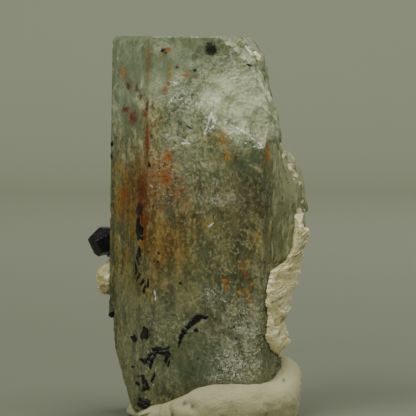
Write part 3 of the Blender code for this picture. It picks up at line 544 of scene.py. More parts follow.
# Bright cracks: two ends in x and z, half width, strength
CRACKS = (
    (1.25, 37.4, 2.05, 40.0, 0.13, 1.0), (2.05, 40.0, 2.7, 38.9, 0.2, 1.0),
    (1.5, 37.6, 2.5, 38.6, 0.1, 0.8), (2.7, 38.9, 4.0, 38.9, 0.12, 0.6),
    (3.9, 39.0, 6.2, 37.9, 0.16, 0.7), (6.2, 37.9, 8.8, 35.9, 0.14, 0.75),
    (4.4, 37.2, 6.6, 36.2, 0.12, 0.6), (6.6, 36.2, 9.0, 35.6, 0.1, 0.8),
    (5.1, 44.4, 8.3, 44.0, 0.1, 0.7), (0.4, 46.0, 2.4, 46.6, 0.12, 0.6),
    (3.2, 47.6, 4.0, 45.2, 0.12, 0.6), (4.5, 48.4, 5.4, 46.0, 0.13, 0.8),
    (5.8, 47.6, 6.9, 46.1, 0.12, 0.9), (6.3, 49.3, 7.6, 47.6, 0.2, 0.8),
    (2.0, 43.4, 4.2, 42.4, 0.1, 0.5), (4.2, 42.4, 6.6, 43.0, 0.1, 0.5),
    (0.8, 41.6, 3.4, 40.8, 0.1, 0.5), (-3.1, 44.2, -2.2, 44.1, 0.17, 1.0),
    (-3.6, 41.0, -2.7, 42.3, 0.1, 0.8), (-2.4, 42.8, -1.4, 41.5, 0.1, 0.8),
    (-1.8, 36.3, -0.6, 36.3, 0.14, 1.0), (-4.3, 36.8, -2.3, 36.7, 0.07, 0.5),
    (-2.0, 34.7, -0.4, 34.9, 0.09, 0.6), (-3.4, 32.6, -1.9, 31.9, 0.08, 0.6),
    (-5.9, 30.9, -5.4, 30.6, 0.14, 0.9), (-3.6, 29.3, -2.9, 29.6, 0.13, 0.8),
    (2.1, 28.4, 4.4, 28.9, 0.12, 0.6), (0.5, 25.6, 1.8, 25.5, 0.1, 0.7),
    (1.9, 25.5, 2.3, 25.8, 0.14, 0.9), (-5.25, 17.5, -5.1, 16.0, 0.1, 1.0),
    (1.7, 17.4, 1.9, 15.5, 0.09, 0.8), (1.7, 17.6, 4.3, 15.3, 0.09, 0.6),
    (-9.0, 37.4, -8.0, 35.2, 0.1, 0.4), (-2.4, 10.9, -1.6, 10.2, 0.1, 0.5),
    (-0.4, 11.2, 0.5, 11.0, 0.14, 0.4), (-5.5, 5.0, -5.2, 4.6, 0.12, 0.8),
    (-4.5, 43.4, -3.3, 43.0, 0.07, 0.5), (-1.2, 45.4, -0.2, 45.9, 0.1, 0.6),
)
# Brown body colour on the front
BROWNS = (
    (-6.5, 30.5, 4.5, 7.0, 0.9), (-4.5, 24.0, 5.5, 5.0, 0.8), (-8.5, 21.0, 3.0, 5.5, 0.62),
    (0.0, 25.5, 4.5, 4.5, 0.6), (-5.0, 40.0, 3.0, 2.6, 0.55), (1.5, 37.2, 2.8, 2.0, 0.5),
    (8.5, 24.5, 3.2, 4.2, 0.5), (5.5, 31.5, 4.5, 3.0, 0.3), (-9.3, 8.0, 1.6, 4.5, 0.2),
    (-7.0, 17.5, 2.2, 2.5, 0.3),
)
# Clear, bluish depth on the front
CLEARS = (
    (-8.6, 47.0, 2.6, 3.2, 0.9), (-2.2, 47.2, 3.2, 2.0, 0.9), (0.2, 7.2, 3.8, 3.2, 1.0),
    (-9.4, 43.0, 1.8, 5.0, 0.8), (-5.0, 45.4, 2.6, 2.6, 0.7), (6.5, 33.4, 2.6, 1.4, 0.35),
    (-4.4, 13.5, 1.5, 2.0, 0.3), (9.9, 7.5, 0.9, 1.6, 0.3), (-10.4, 42.0, 0.7, 5.0, 0.4),
)
# Sandy, granular ground on the front
SANDS = (
    (-2.4, 38.0, 4.0, 3.2, 0.9), (-3.0, 32.5, 4.2, 3.6, 0.9), (1.5, 36.0, 2.0, 2.0, 0.5),
    (1.0, 30.0, 3.0, 3.0, 0.7), (7.0, 12.0, 3.6, 5.0, 0.45), (-8.5, 35.5, 1.5, 2.5, 0.5),
    (5.5, 24.0, 4.0, 4.0, 0.4), (-3.0, 11.5, 4.0, 2.0, 0.5), (4.5, 17.0, 3.0, 2.0, 0.4),
)
# Black dust under the skin
SMUDGES = (
    (2.1, 48.5, 0.72, 1.1, 0.95), (3.2, 49.4, 0.9, 0.3, 0.6), (-4.2, 48.3, 0.4, 0.35, 0.7),
    (-6.9, 48.6, 0.3, 0.7, 0.45), (-7.3, 27.4, 0.55, 1.4, 0.7), (-7.1, 24.4, 0.6, 1.2, 0.6),
    (0.0, 45.7, 0.22, 0.22, 0.9), (-2.4, 46.1, 0.22, 0.22, 0.6), (-11.0, 34.0, 0.3, 0.5, 0.6),
    (-9.0, 39.9, 0.35, 0.4, 0.5), (1.1, 30.3, 1.6, 1.2, 0.35), (7.0, 28.4, 2.2, 3.4, 0.3),
    (7.8, 46.4, 0.5, 0.2, 0.6), (2.4, 26.9, 2.2, 1.1, 0.35),
)


def spots(points, front, table, wobble, seed):
    """Largest strength of the soft oval spots at each point, their rims moved by noise."""
    x = points[..., 0] + wobble * layered(points * 1.1, 3, seed)
    z = points[..., 2] + wobble * layered(points * 1.1, 3, seed + 9)
    total = np.zeros(x.shape)
    for spot in table:
        away = ((x - spot[0]) / spot[2]) ** 2 + ((z - spot[1]) / spot[3]) ** 2
        total = np.maximum(total, spot[-1] * np.exp(-0.8 * away))
    return total * front


def stain_layers(points, front):
    """Strength of the stains and their hue, the hue weighted by each stain's share."""
    x = points[..., 0] + 0.12 * layered(points * 2.3, 3, 81)
    z = points[..., 2] + 0.2 * layered(points * 2.0, 3, 87)
    total = np.zeros(x.shape)
    hue = np.zeros(x.shape)
    weight = np.full(x.shape, 1e-4)
    for sx, sz, rx, rz, tint, strength in STAINS:
        share = strength * np.exp(-0.9 * (((x - sx) / rx) ** 2 + ((z - sz) / rz) ** 2))
        total = np.maximum(total, share)
        hue += share ** 2 * tint
        weight += share ** 2
    return total * front, hue / weight


def cracks(points, front):
    """Strength of the bright cracks: distance from each short line in the front view."""
    x = points[..., 0] + 0.1 * layered(points * 1.7, 3, 77)
    z = points[..., 2] + 0.1 * layered(points * 1.7, 3, 79)
    total = np.zeros(x.shape)
    for x0, z0, x1, z1, half, strength in CRACKS:
        run, rise = x1 - x0, z1 - z0
        share = np.clip(((x - x0) * run + (z - z0) * rise) / (run * run + rise * rise), 0.0, 1.0)
        away = np.hypot(x - x0 - share * run, z - z0 - share * rise) / half
        total = np.maximum(total, strength * np.exp(-away ** 2 * 1.6))
    return total * front


# Masks that go all round: name, front table, wobble and seed of its spots, then for the hidden sides
# the seed, the fineness in x, y and z, the limit and the strength
ROUND_LAYERS = (
    ("frost", FROSTS, 0.35, 71, 101, (0.2, 0.2, 0.13), 0.1, 0.7),
    ("haze", VEILS_AND_EDGE_LIGHT, 0.7, 103, 105, (0.13, 0.13, 0.1), 0.1, 0.8),
    ("brown", BROWNS, 0.8, 111, 113, (0.1, 0.1, 0.06), -0.1, 0.7),
    ("clear", CLEARS, 0.5, 121, 123, (0.14, 0.14, 0.09), 0.2, 0.7),
)
# Strength of the sandy ground on the hidden sides
HIDDEN_SAND = 0.3


def hidden_side_spots(points, away_side, seed, fineness, limit, strength):
    """Seeded soft-edged patches for the sides that the front tables don't reach."""
    patches = layered(points * fineness, 4, seed)
    return smooth_step(limit - 0.25, limit + 0.95, patches) * away_side * strength


def crystal_layers(points, face):
    """All the painted masks of the crystal's skin as point attributes."""
    front = np.isin(face, (FRONT, RIGHT_FRONT, LEFT_FRONT)).astype(float)
    back = 1.0 - front
    stain, hue = stain_layers(points, front)
    hidden = hidden_side_spots(points, back, 91, (0.5, 0.5, 0.22), 0.55, 0.9)
    layers = {"stain": np.maximum(stain, hidden),
              "hue": np.where(back > 0.5, 0.5 + 0.4 * noise(points * 0.6, 95), hue),
              "crack": cracks(points, front),
              "smudge": spots(points, front, SMUDGES, 0.2, 131),
              "sand": np.maximum(spots(points, front, SANDS, 0.8, 137), HIDDEN_SAND * back),
              # painted light: the skin turns lighter from 29 mm up to 43 mm
              "glow": smooth_step(29.0, 43.0, points[..., 2])}
    for name, table, wobble, seed, *patches in ROUND_LAYERS:
        hidden = hidden_side_spots(points, back, *patches)
        layers[name] = np.maximum(spots(points, front, table, wobble, seed), hidden)
    return layers


def crystal_skin():
    """The prism as one closed skin: rings of level rays, then rings drawn in to the two ends."""
    height = np.linspace(PRISM_BOTTOM, PRISM_TOP, PRISM_ROWS)
    direction = prism_directions(height)
    level = np.repeat(height[:, None], direction.shape[1], axis=1)
    reach, face, _ = prism_reach(direction, level, True, edge_balls())
    side = np.concatenate((direction * reach[..., None], level[..., None]), axis=-1)
    shrink = np.array(END_RINGS)
    top = side[-1][None] * np.array((1.0, 1.0, 0.0)) * shrink[:, None, None]
    dip = layered(top * 0.22, 3, 141)
    sunk = np.round((dip - 0.15) * 3.0) / 3.0 * 0.22 + layered(top * 1.1, 3, 145) * 0.035
    inner = smooth_step(0.0, 0.12, 1.0 - shrink)[:, None]
    top[..., 2] = PRISM_TOP - np.clip(sunk + 0.1, 0.0, 0.35) * inner
    bottom = side[0][None] * shrink[::-1, None, None]
    bottom[..., 2] = PRISM_BOTTOM
    rings = np.concatenate((bottom, side, top))
    face = np.pad(face, ((len(shrink), len(shrink)), (0, 0)), mode="edge")
    return make_closed("aquamarine_crystal", rings, 34.0, crystal_layers(rings, face))


BERYL_IOR = 1.57
# What the inside of the crystal lets through, and how strongly it takes the rest
BERYL_DEPTH = ((0.52, 0.58, 0.29), 50.0)
# Colours of the iron stains by hue: yellow, orange, rust, dark red, black
IRON_STOPS = ((0.0, (0.44, 0.28, 0.008)), (0.3, (0.50, 0.22, 0.006)), (0.55, (0.42, 0.10, 0.004)),
              (0.8, (0.22, 0.030, 0.003)), (1.0, (0.045, 0.010, 0.009)))


def aquamarine_finish():
    """Grey-green beryl: clear glassy depth under frost, veils, iron stains and brown cloud."""
    f = Finish("aquamarine")
    stain, hue, frost, haze, crack, clear, brown, smudge, glow, sand = map(f.attribute, (
        "stain", "hue", "frost", "haze", "crack", "clear", "brown", "smudge", "glow", "sand"))
    coarse = sand * 0.75 + 0.34
    bands = f.noise((1.2, 1.2, 9.0), 2.0, 0.5)
    streaks = f.noise((0.24, 0.24, 1.4), 3.0, 0.6)
    mottle = f.noise((1.9, 1.9, 2.5), 4.0, 0.60, 0.5)
    grain = f.noise((0.38, 0.38, 0.46), 3.0, 0.68)
    fine = f.noise((0.19, 0.19, 0.22), 2.0, 0.6)
    cloud = f.noise((3.6, 3.6, 4.6), 3.0, 0.5)
    lace = f.noise((0.85, 0.85, 0.75), 5.0, 0.74, 1.3)
    threads = (lace - 0.5).math("ABSOLUTE").above(0.045, 0.0)
    veins = f.cells((2.1, 2.1, 1.7), "DISTANCE_TO_EDGE", 1.3).above(0.045, 0.0)
    arcs = f.cells((4.6, 4.6, 2.6), "DISTANCE_TO_EDGE", 2.4).above(0.022, 0.0)
    dots = f.cells((0.55, 0.55, 0.7)).above(0.30, 0.16)
    open_depth = (1.0 - haze * 0.5 - clear * 0.95).clamp()
    # Body of the crystal: green, its clear depth, brown cloud and white veils; painted light makes the
    # body and its clear depth lighter towards the top and darker near the foot
    deep = f.blend(glow, (0.020, 0.040, 0.018), (0.39, 0.505, 0.31))
    murk = (brown * 1.3 + (cloud - 0.5) * 1.4 + (mottle - 0.5) * 1.0 - 0.3).above(0.0, 0.65)
    uneven = (mottle + bands - 0.5).above(0.38, 0.62)
    earth = f.blend(uneven, (0.10, 0.052, 0.001), (0.235, 0.142, 0.004))
    # white veils, with painted light on the shaded right edge
    soft = (haze * 1.3 + (mottle - 0.5) * 1.9 + (lace - 0.5) * 1.1).above(0.1, 1.15)
    body = f.paint(
        (0.060, 0.068, 0.019),
        ((mottle + (bands - 0.5) * 0.8).above(0.36, 0.64), (0.228, 0.237, 0.080)),
        (glow * 0.6, (0.365, 0.45, 0.225)),
        ((clear * 0.92).clamp(), deep),
        (murk * 0.88, earth),
        (soft, (0.68, 0.75, 0.43)))
    # Grain of the skin: striations, sand, threads of frost and bright flecks, with painted highlights:
    # the glints, and in part the flecks and the bright white of the cracks
    pale_grit = f.blend(murk, (0.60, 0.61, 0.28), (0.62, 0.47, 0.13))
    flecks = (grain * 0.6 + fine * 0.6 + frost * 0.24 - 0.82).above(0.0, 0.06)
    spark = (frost * 1.7 + crack - 0.68 + (mottle - 0.5) * 2.2).clamp()
    # glints: painted highlights, white specks where there is frost and cracks
    glints = f.cells((0.42, 0.42, 0.38)).above(0.22, 0.12) * spark
    # white of the cracks, with painted glitter in random specks
    crack_and_glitter_white = (crack * 1.0 + (grain - 0.5) * 1.8 + (fine - 0.5) * 1.0).above(0.3, 0.8)
    body = f.paint(
        body,
        (streaks.above(0.53, 0.68) * open_depth * 0.36, (0.03, 0.032, 0.007)),
        (streaks.above(0.46, 0.32) * (0.26 - clear * 0.2).clamp(), (0.40, 0.41, 0.20)),
        ((grain.above(0.49, 0.36) * open_depth * coarse * 0.95).clamp(), (0.018, 0.018, 0.003)),
        ((grain.above(0.52, 0.64) * open_depth * coarse).clamp(), pale_grit),
        ((threads * (frost * 1.1 + coarse * 0.2)).clamp(), (0.62, 0.66, 0.45)),
        ((veins * (soft * 0.8 + frost * 0.4) * mottle.above(0.42, 0.55)).clamp(), (0.80, 0.84, 0.64)),
        ((arcs * (soft * 0.9 + frost * 0.5)).clamp(), (0.90, 0.94, 0.78)),
        (flecks * 0.8, (0.78, 0.81, 0.62)),
        (glints, (0.97, 1.0, 0.98)),
        (crack_and_glitter_white * 0.92, (0.94, 0.97, 0.88)))
    # Iron stains and black dust
    iron = f.node("ShaderNodeValToRGB", {"stops": IRON_STOPS},
                  {"Fac": hue + grain * 1.2 - 0.6}, "Color")
    broken = (fine - 0.5) * 2.6 + (grain - 0.5) * 2.6 + (mottle - 0.5)
    rust = (stain * 1.1 + broken - 0.55).above(0.0, 0.3)
    dark = (smudge * 1.5 + (grain - 0.5) * 1.5 + (fine - 0.5) * 1.2 - 0.5).above(0.0, 0.5)
    body = f.paint(
        body,
        ((stain * 0.7).clamp(), f.blend(hue, (0.31, 0.15, 0.004), (0.19, 0.026, 0.002))),
        (rust * 0.85, iron),
        (dots * (stain * 1.6 - 0.25 + (mottle - 0.5) * 2.0).clamp() * 0.8, (0.52, 0.105, 0.006)),
        (dark * 0.95, (0.006, 0.007, 0.009)))
    facets = f.cells((0.42, 0.42, 0.46)) * (frost * 1.5 + soft * 0.5)
    height = (streaks * 0.5 + grain * 0.6 + lace * (frost * 0.9 + 0.3) + facets) * (1.0 - clear * 0.8)
    bump = f.bump(height, 0.16)
    # the painted glints and glitter raise the solid skin's share, so they read brighter
    share = (soft * 0.25 + rust * 0.4 + dark * 0.3 + murk * 0.34 + crack_and_glitter_white * 0.35 + glints * 0.35 + 0.56
             - clear * 0.2).clamp()
    glass = f.shader(Base_Color=(0.88, 0.94, 0.77), Roughness=(grain * 0.15 + soft * 0.25).clamp(),
                     IOR=BERYL_IOR, Transmission_Weight=1.0, Normal=bump)
    skin = f.shader(Base_Color=body, Roughness=(grain * 0.5 + 0.10 - frost * 0.12).clamp(),
                    IOR=BERYL_IOR, Specular_IOR_Level=0.22, Normal=bump)
    return f.half_clear(share, glass, skin, BERYL_DEPTH)


def ball_span(origin, direction, ball):
    """Near and far root of rays with a turned ellipsoid; a ray that misses gets an empty span."""
    centre, radii, spin = ball
    start = (origin - np.array(centre)) @ spin / radii
    run = direction @ spin / radii
    a = (run * run).sum(-1)
    b = (start * run).sum(-1)
    c = (start * start).sum(-1) - 1.0
    inside = b * b - a * c
    root = np.sqrt(np.maximum(inside, 0.0))
    near = np.where(inside > 0.0, (-b - root) / a, np.inf)
    return near, np.where(inside > 0.0, (-b + root) / a, -np.inf)


def box_span(origin, direction, box, soft=5.0):
    """Near and far distance of rays through a turned box, the far one rounded over its edges."""
    centre, half, spin = box
    start = (origin - np.array(centre)) @ spin
    run = direction @ spin
    run = np.where(np.abs(run) < 1e-6, 1e-6, run)
    first = (-start - np.sign(run) * half) / run
    last = (-start + np.sign(run) * half) / run
    near = first.max(axis=-1)
    far = last.min(axis=-1)
    round_far = (np.maximum(last, 0.05) ** -soft).sum(axis=-1) ** (-1.0 / soft)
    hit = (near < far) & (far > 0.0)
    return np.where(hit, near, np.inf), np.where(hit, round_far, -np.inf)


def union_reach(origin, direction, shapes, floor=0.3, bridge=0.12):
    """Far side of touching shapes along each ray, passing from one to the next without a gap.

    Each shape is its span function and its centre, half sizes and turn.
    """
    reach = np.full(origin.shape[:-1], floor)
    level = np.abs(direction[:, 0, 2]) < 1e-9
    for _ in range(3):
        for span, *shape in shapes:
            rows = ~level | (np.abs(origin[:, 0, 2] - shape[0][2]) < 1.8 * np.max(shape[1]))
            near, far = span(origin[rows], direction[rows], shape)
            touching = (near < reach[rows] + bridge) & (far > reach[rows])
            reach[rows] = np.where(touching, far, reach[rows])
    return reach


def crystal_entry(origin, direction, gap=0.03):
    """Distance at which each ray would enter the bare prism, infinity when it never does."""
    enter = np.zeros(origin.shape[:-1])
    leave = np.full(origin.shape[:-1], np.inf)
    for index, normal in enumerate(FACE_NORMALS):
        reach = FACE_REACH[index] + math.tan(FACE_LEAN[index]) * (LEAN_HEIGHT - origin[..., 2]) + gap
        level = reach - origin[..., :2] @ normal
        slope = direction[..., :2] @ normal
        slope = np.where(np.abs(slope) < 1e-6, 1e-6, slope)
        outside = level < 0.0
        met = np.where(slope < 0.0, np.maximum(enter, level / slope), np.inf)
        enter = np.where(outside, met, enter)
        leave = np.where(~outside & (slope > 0.0), np.minimum(leave, level / slope), leave)
    return np.where(enter < leave, enter, np.inf)


def turn_matrix(*turns):
    """Product of turns, each an axis letter and an angle in degrees, as a 3 by 3 array."""
    whole = np.eye(3)
    for axis, degrees in turns:
        c, s = math.cos(math.radians(degrees)), math.sin(math.radians(degrees))
        i, j = {"X": (1, 2), "Y": (2, 0), "Z": (0, 1)}[axis]
        turn = np.eye(3)
        turn[i, i], turn[i, j], turn[j, i], turn[j, j] = c, -s, s, c
        whole = whole @ turn
    return whole


def level_rays(height, columns):
    """Level directions all the way round, one row for each height."""
    turn = 2.0 * math.pi * np.arange(columns) / columns
    ring = np.stack((np.cos(turn), np.sin(turn), np.zeros(columns)), axis=-1)
    return np.broadcast_to(ring, (len(height), columns, 3))


def globe_rays(rows, columns):
    """Directions over a whole sphere, from the lower pole to the upper one."""
    tilt = math.pi * (np.arange(rows) + 0.5)[:, None] / rows
    turn = 2.0 * math.pi * np.arange(columns)[None, :] / columns
    return np.stack((np.sin(tilt) * np.cos(turn), np.sin(tilt) * np.sin(turn),
                     -np.cos(tilt) * np.ones_like(turn)), axis=-1)


def axis_points(height, columns, knots):
    """A wandering upright axis through knots of (z, x, y), one origin for each ray."""
    z, x, y = np.array(knots).T
    spine = np.stack((np.interp(height, z, x), np.interp(height, z, y), height), axis=-1)
    return np.repeat(spine[:, None], columns, axis=1)


# Roll of putty round the crystal's foot: x, y, z of its middle and its radius
PUTTY_ROLL = (
    (-5.6, -9.0, 0.3, 1.6), (-4.2, -10.2, 0.6, 2.0), (-2.0, -10.9, 1.1, 2.3), (0.6, -11.1, 2.0, 3.0),
    (4.6, -11.2, 2.2, 3.1), (8.2, -10.5, 1.9, 2.9), (10.7, -7.8, 2.2, 2.95), (11.1, -4.2, 3.8, 2.9),
    (11.0, -0.6, 5.3, 2.9), (10.3, 2.4, 4.6, 2.9), (7.9, 6.2, 2.6, 2.9), (4.0, 8.5, 1.6, 2.7),
    (-2.0, 8.9, 1.2, 2.6), (-5.6, 7.2, 0.9, 2.3), (-6.2, 1.5, 0.6, 1.8), (-6.2, -4.8, 0.4, 1.6),
)
# Presses and pits in the putty: x, y, z, radius and depth
PUTTY_DENTS = (
    (-0.9, -13.6, 2.9, 0.75, 0.5), (-0.2, -13.5, 2.2, 0.45, 0.45), (9.6, -13.2, 2.5, 0.55, 0.3),
    (11.6, -9.3, 5.2, 0.16, 0.5), (3.6, -14.0, 1.0, 0.4, 0.4), (12.6, -6.6, 5.4, 0.5, 0.25),
)
# Dark smudges and specks on the putty's front, and painted shade in the pit at x 11.6, z 5.3: x, z,
# radius and strength
PUTTY_MARKS = (
    (-1.3, 2.9, 0.28, 0.9), (-0.3, 2.5, 0.2, 1.0), (3.4, 1.0, 0.3, 0.7), (11.6, 5.3, 0.2, 1.0),
    (9.7, 2.4, 0.4, 0.4), (-2.9, 1.2, 0.3, 0.6), (9.2, 1.6, 0.35, 0.4),
)
PUTTY_COLUMNS = 420
PUTTY_FRONT = -9.0
# Angle below level where the putty's arc starts, and the height of the socket's floor
PUTTY_LOW_ANGLE = -math.radians(38.0)
SOCKET_FLOOR = 1.3
# Where the two seams in the putty's front reach the floor
SEAM_X = -2.85
LEFT_SEAM_X = -5.35


def around(values, turn):
    """Smooth periodic curve through the roll's knots, as a mean of near ones weighed by angle."""
    knots = np.array([math.atan2(y, x) for x, y, _, _ in PUTTY_ROLL])
    away = np.angle(np.exp(1j * (turn[:, None] - knots[None, :])))
    weight = np.exp(-(away / 0.2) ** 2) + 1e-12
    return (weight * values).sum(axis=1) / weight.sum(axis=1)


def putty_skin():
    """Round the axis: flat foot, the roll's arc, over its top to the crystal, and the socket."""
    roll = np.array(PUTTY_ROLL)
    turn = 2.0 * math.pi * np.arange(PUTTY_COLUMNS) / PUTTY_COLUMNS
    middle = around(np.hypot(roll[:, 0], roll[:, 1]), turn)
    rise = around(roll[:, 2], turn)
    radius = around(roll[:, 3], turn)
    aim = np.stack((np.cos(turn), np.sin(turn)), axis=-1)
    skin_low = prism_reach(aim[None], np.full((1, PUTTY_COLUMNS), 3.0), False)[0][0]
    foot = np.linspace(0.02, 1.0, 10)[:, None]
    arc_end = np.arccos(np.clip((skin_low - 0.3 - middle) / radius, -0.98, 0.2))
    share = np.linspace(0.0, 1.0, 74)[:, None]
    angle = PUTTY_LOW_ANGLE + share * (arc_end - PUTTY_LOW_ANGLE)
    out = middle + radius * np.cos(angle)
    below = rise * (1.0 - np.sin(angle) / math.sin(PUTTY_LOW_ANGLE))
    height = np.where(angle < 0.0, below, rise + radius * np.sin(angle))
    height = np.maximum(height, 0.0)
    tuck = 0.35 * smooth_step(0.5, 0.0, height) ** 2
    arc = np.stack(((out - tuck) * aim[:, 0], (out - tuck) * aim[:, 1], height), axis=-1)
    arc = press_putty(arc, aim)
    ring = arc[0] * np.array((1.0, 1.0, 0.0))
    base = ring[None] * np.concatenate((foot, foot, foot * 0.0), axis=1)[:, None, :]
    top = arc[-1]
    drop = np.linspace(0.0, 1.0, 8)[1:, None]
    well_z = top[:, 2] * (1.0 - drop) + SOCKET_FLOOR * drop
    way = np.broadcast_to(aim, well_z.shape + (2,))
    reach = prism_reach(way, np.maximum(well_z, PRISM_BOTTOM), False)[0]
    reach = np.minimum(reach + 0.04, np.hypot(top[:, 0], top[:, 1]))
    well = np.stack((reach * aim[:, 0], reach * aim[:, 1], well_z), axis=-1)
    floor = well[-1][None] * np.linspace(0.93, 0.05, 8)[:, None, None]
    floor[..., 2] = SOCKET_FLOOR
    rings = np.concatenate((base, arc, well, floor))
    return make_closed("putty_lump", rings, 50.0, {"mark": putty_marks(rings)})


def press_putty(arc, aim):
    """Finger presses, a seam, folds at the left end, ridges and small pits, along the outward way."""
    px, py, pz = np.moveaxis(arc, -1, 0)
    grip = smooth_step(0.05, 0.8, pz)
    broad = layered(arc * 0.28, 3, 151) * 0.24 + layered(arc * 0.9, 3, 155) * 0.06
    broad = broad + layered(arc * 3.4, 2, 157) * 0.012
    front = smooth_step(PUTTY_FRONT, PUTTY_FRONT - 1.0, py)
    seam_x = SEAM_X + 0.18 * np.sin(pz * 1.9) - 0.1 * pz
    seam = -0.55 * np.exp(-((px - seam_x) / 0.16) ** 2) * front
    left = smooth_step(-5.2, -6.2, px) * smooth_step(-7.0, -8.2, py)
    fold = 0.32 * np.sin((px * 0.75 - pz * 1.1) * 4.6) * left
    second_seam = -0.3 * np.exp(-((px - LEFT_SEAM_X - 0.35 * pz) / 0.14) ** 2) * front
    ridge = 0.022 * np.sin(np.hypot(px - 5.0, (pz - 1.0) * 1.6) * 11.0 + 1.5 * noise(arc * 0.8, 159))
    push = (broad + seam + fold + second_seam + ridge) * grip
    for x, y, z, size, depth in PUTTY_DENTS:
        away = np.linalg.norm(arc - np.array((x, y, z)), axis=-1) / size
        push = push - depth * np.exp(-away ** 2 * 1.2)
    pressed = arc.copy()
    pressed[..., :2] += aim * push[..., None]
    pressed[..., 2] += np.where(pz > 1.0, layered(arc * 0.5, 3, 163) * 0.16, 0.0)
    return pressed


def putty_marks(points):
    """Dark smudges and specks pressed into the putty's front, and painted shade in one pit."""
    total = np.zeros(points.shape[:-1])
    for x, z, size, strength in PUTTY_MARKS:
        away = np.hypot(points[..., 0] - x, points[..., 2] - z) / size
        total = np.maximum(total, strength * np.exp(-away ** 2) * (points[..., 1] < PUTTY_FRONT + 2.0))
    return total


def putty_finish():
    """Matt beige museum putty: faint mottling, a few brown crumbs and grey smudges, one of them painted
    shade in a pit.
    """
    f = Finish("display_putty")
    cloud = f.noise((3.2, 3.2, 2.4), 4.0, 0.6)
    fine = f.noise((0.35, 0.35, 0.35), 4.0, 0.7)
    crumb = f.cells((1.9, 1.9, 1.9))
    speck = f.cells((0.8, 0.8, 0.8))
    tone = f.paint(
        (0.315, 0.305, 0.142),
        (cloud.above(0.3, 0.7), (0.40, 0.388, 0.192)),
        (((fine - 0.5) * 1.2 + 0.25).clamp(), (0.48, 0.465, 0.25)),
        (crumb.above(0.10, 0.05) * 0.75, (0.24, 0.10, 0.035)),
        (speck.above(0.12, 0.06) * cloud.above(0.40, 0.6) * 0.5, (0.12, 0.10, 0.07)),
        # dark smudges, and painted shade in one pit
        (f.attribute("mark") * 0.9, (0.035, 0.04, 0.04)))
    bump = f.bump(fine + cloud * 0.8, 0.13)
    return f.close(f.shader(Base_Color=tone, Roughness=0.72, Normal=bump, Sheen_Weight=0.15))


# Albite crust down the right flank: height, reach to the right, where its front edge lies
CRUST_PROFILE = (
    (8.4, 11.4, 10.9), (9.3, 12.1, 9.8), (10.6, 12.7, 9.2), (12.6, 12.1, 9.2), (15.3, 12.8, 9.2),
    (17.7, 13.7, 9.3), (19.6, 14.1, 9.8), (20.5, 14.3, 11.6), (22.1, 14.6, 12.8), (24.8, 14.9, 13.3),
    (26.4, 14.6, 14.15),
)
# Heights of the notches between the crust's lobes
CRUST_NOTCHES = (25.1, 23.5, 22.05, 20.4, 18.1, 16.5, 15.0, 13.0, 10.6)
CRUST_ROWS = 420
CRUST_COLUMNS = 205
# Length of the crust round the corner, where its knots lie along it, and the rows each side that
# count as a fold's surroundings
CRUST_WRAP = 13.5
CRUST_PLACES = (0.0, 0.05, 0.34, 0.46, 0.63, 0.8, 1.0)
FOLD_WINDOW = 12


def up_line(height):
    """Points of an upright line, as places for noise."""
    return np.stack((height, 0.0 * height, 0.0 * height), axis=-1)


def plan_points(x, y):
    """Plan points from x and y, one of which may be a single number."""
    return np.stack(np.broadcast_arrays(x, y), axis=-1)


def ends_fade(height, low, high):
    """0 at the two ends of a sheet, 1 from low above the lower end to high below the upper one."""
    rise = smooth_step(height[0], height[0] + low, height)
    return np.sqrt(rise * smooth_step(height[-1], height[-1] - high, height))


def wrap_rings(knots, places, inner, fade, relief, columns, soft):
    """Rings of a sheet wrapped round the crystal's right corner.

    The outer line runs through the moving knots, its bends rounded by a running mean, and is
    pushed out by the relief; the way back follows the inner knots on the crystal's faces.
    """
    share = np.linspace(0.0, 1.0, columns)
    weights = np.stack([np.interp(share, places, row) for row in np.eye(len(places))])
    padded = np.pad(weights, ((0, 0), (soft, soft)), mode="edge")
    weights = sum(padded[:, i:i + columns] for i in range(2 * soft + 1)) / (2 * soft + 1)
    outer = np.einsum("kc,rkd->rcd", weights, knots)
    base = np.stack([np.interp(share, (0.0, 0.5, 1.0), row) for row in np.eye(3)])
    base = np.einsum("kc,rkd->rcd", base, inner)
    run = np.gradient(outer, axis=1)
    run /= np.maximum(np.linalg.norm(run, axis=-1, keepdims=True), 1e-9)
    normal = np.stack((run[..., 1], -run[..., 0]), axis=-1)
    held = smooth_step(0.0, 0.03, share) * smooth_step(1.0, 0.95, share)
    outer = outer + normal * (relief * held)[..., None]
    outer = base + (outer - base) * fade[:, None, None]
    back = base[:, ::-1][:, ::columns // 14]
    return np.concatenate((outer, back), axis=1)


def on_right_faces(x):
    """Point of the right-hand front face at each x, or in front of the corner's line beyond it."""
    lap = np.maximum(RIGHT_CORNER[0] - x, 0.0)
    return np.stack((x + 0.03, RIGHT_CORNER[1] - RIGHT_FRONT_SLOPE * lap - 0.02), axis=-1)


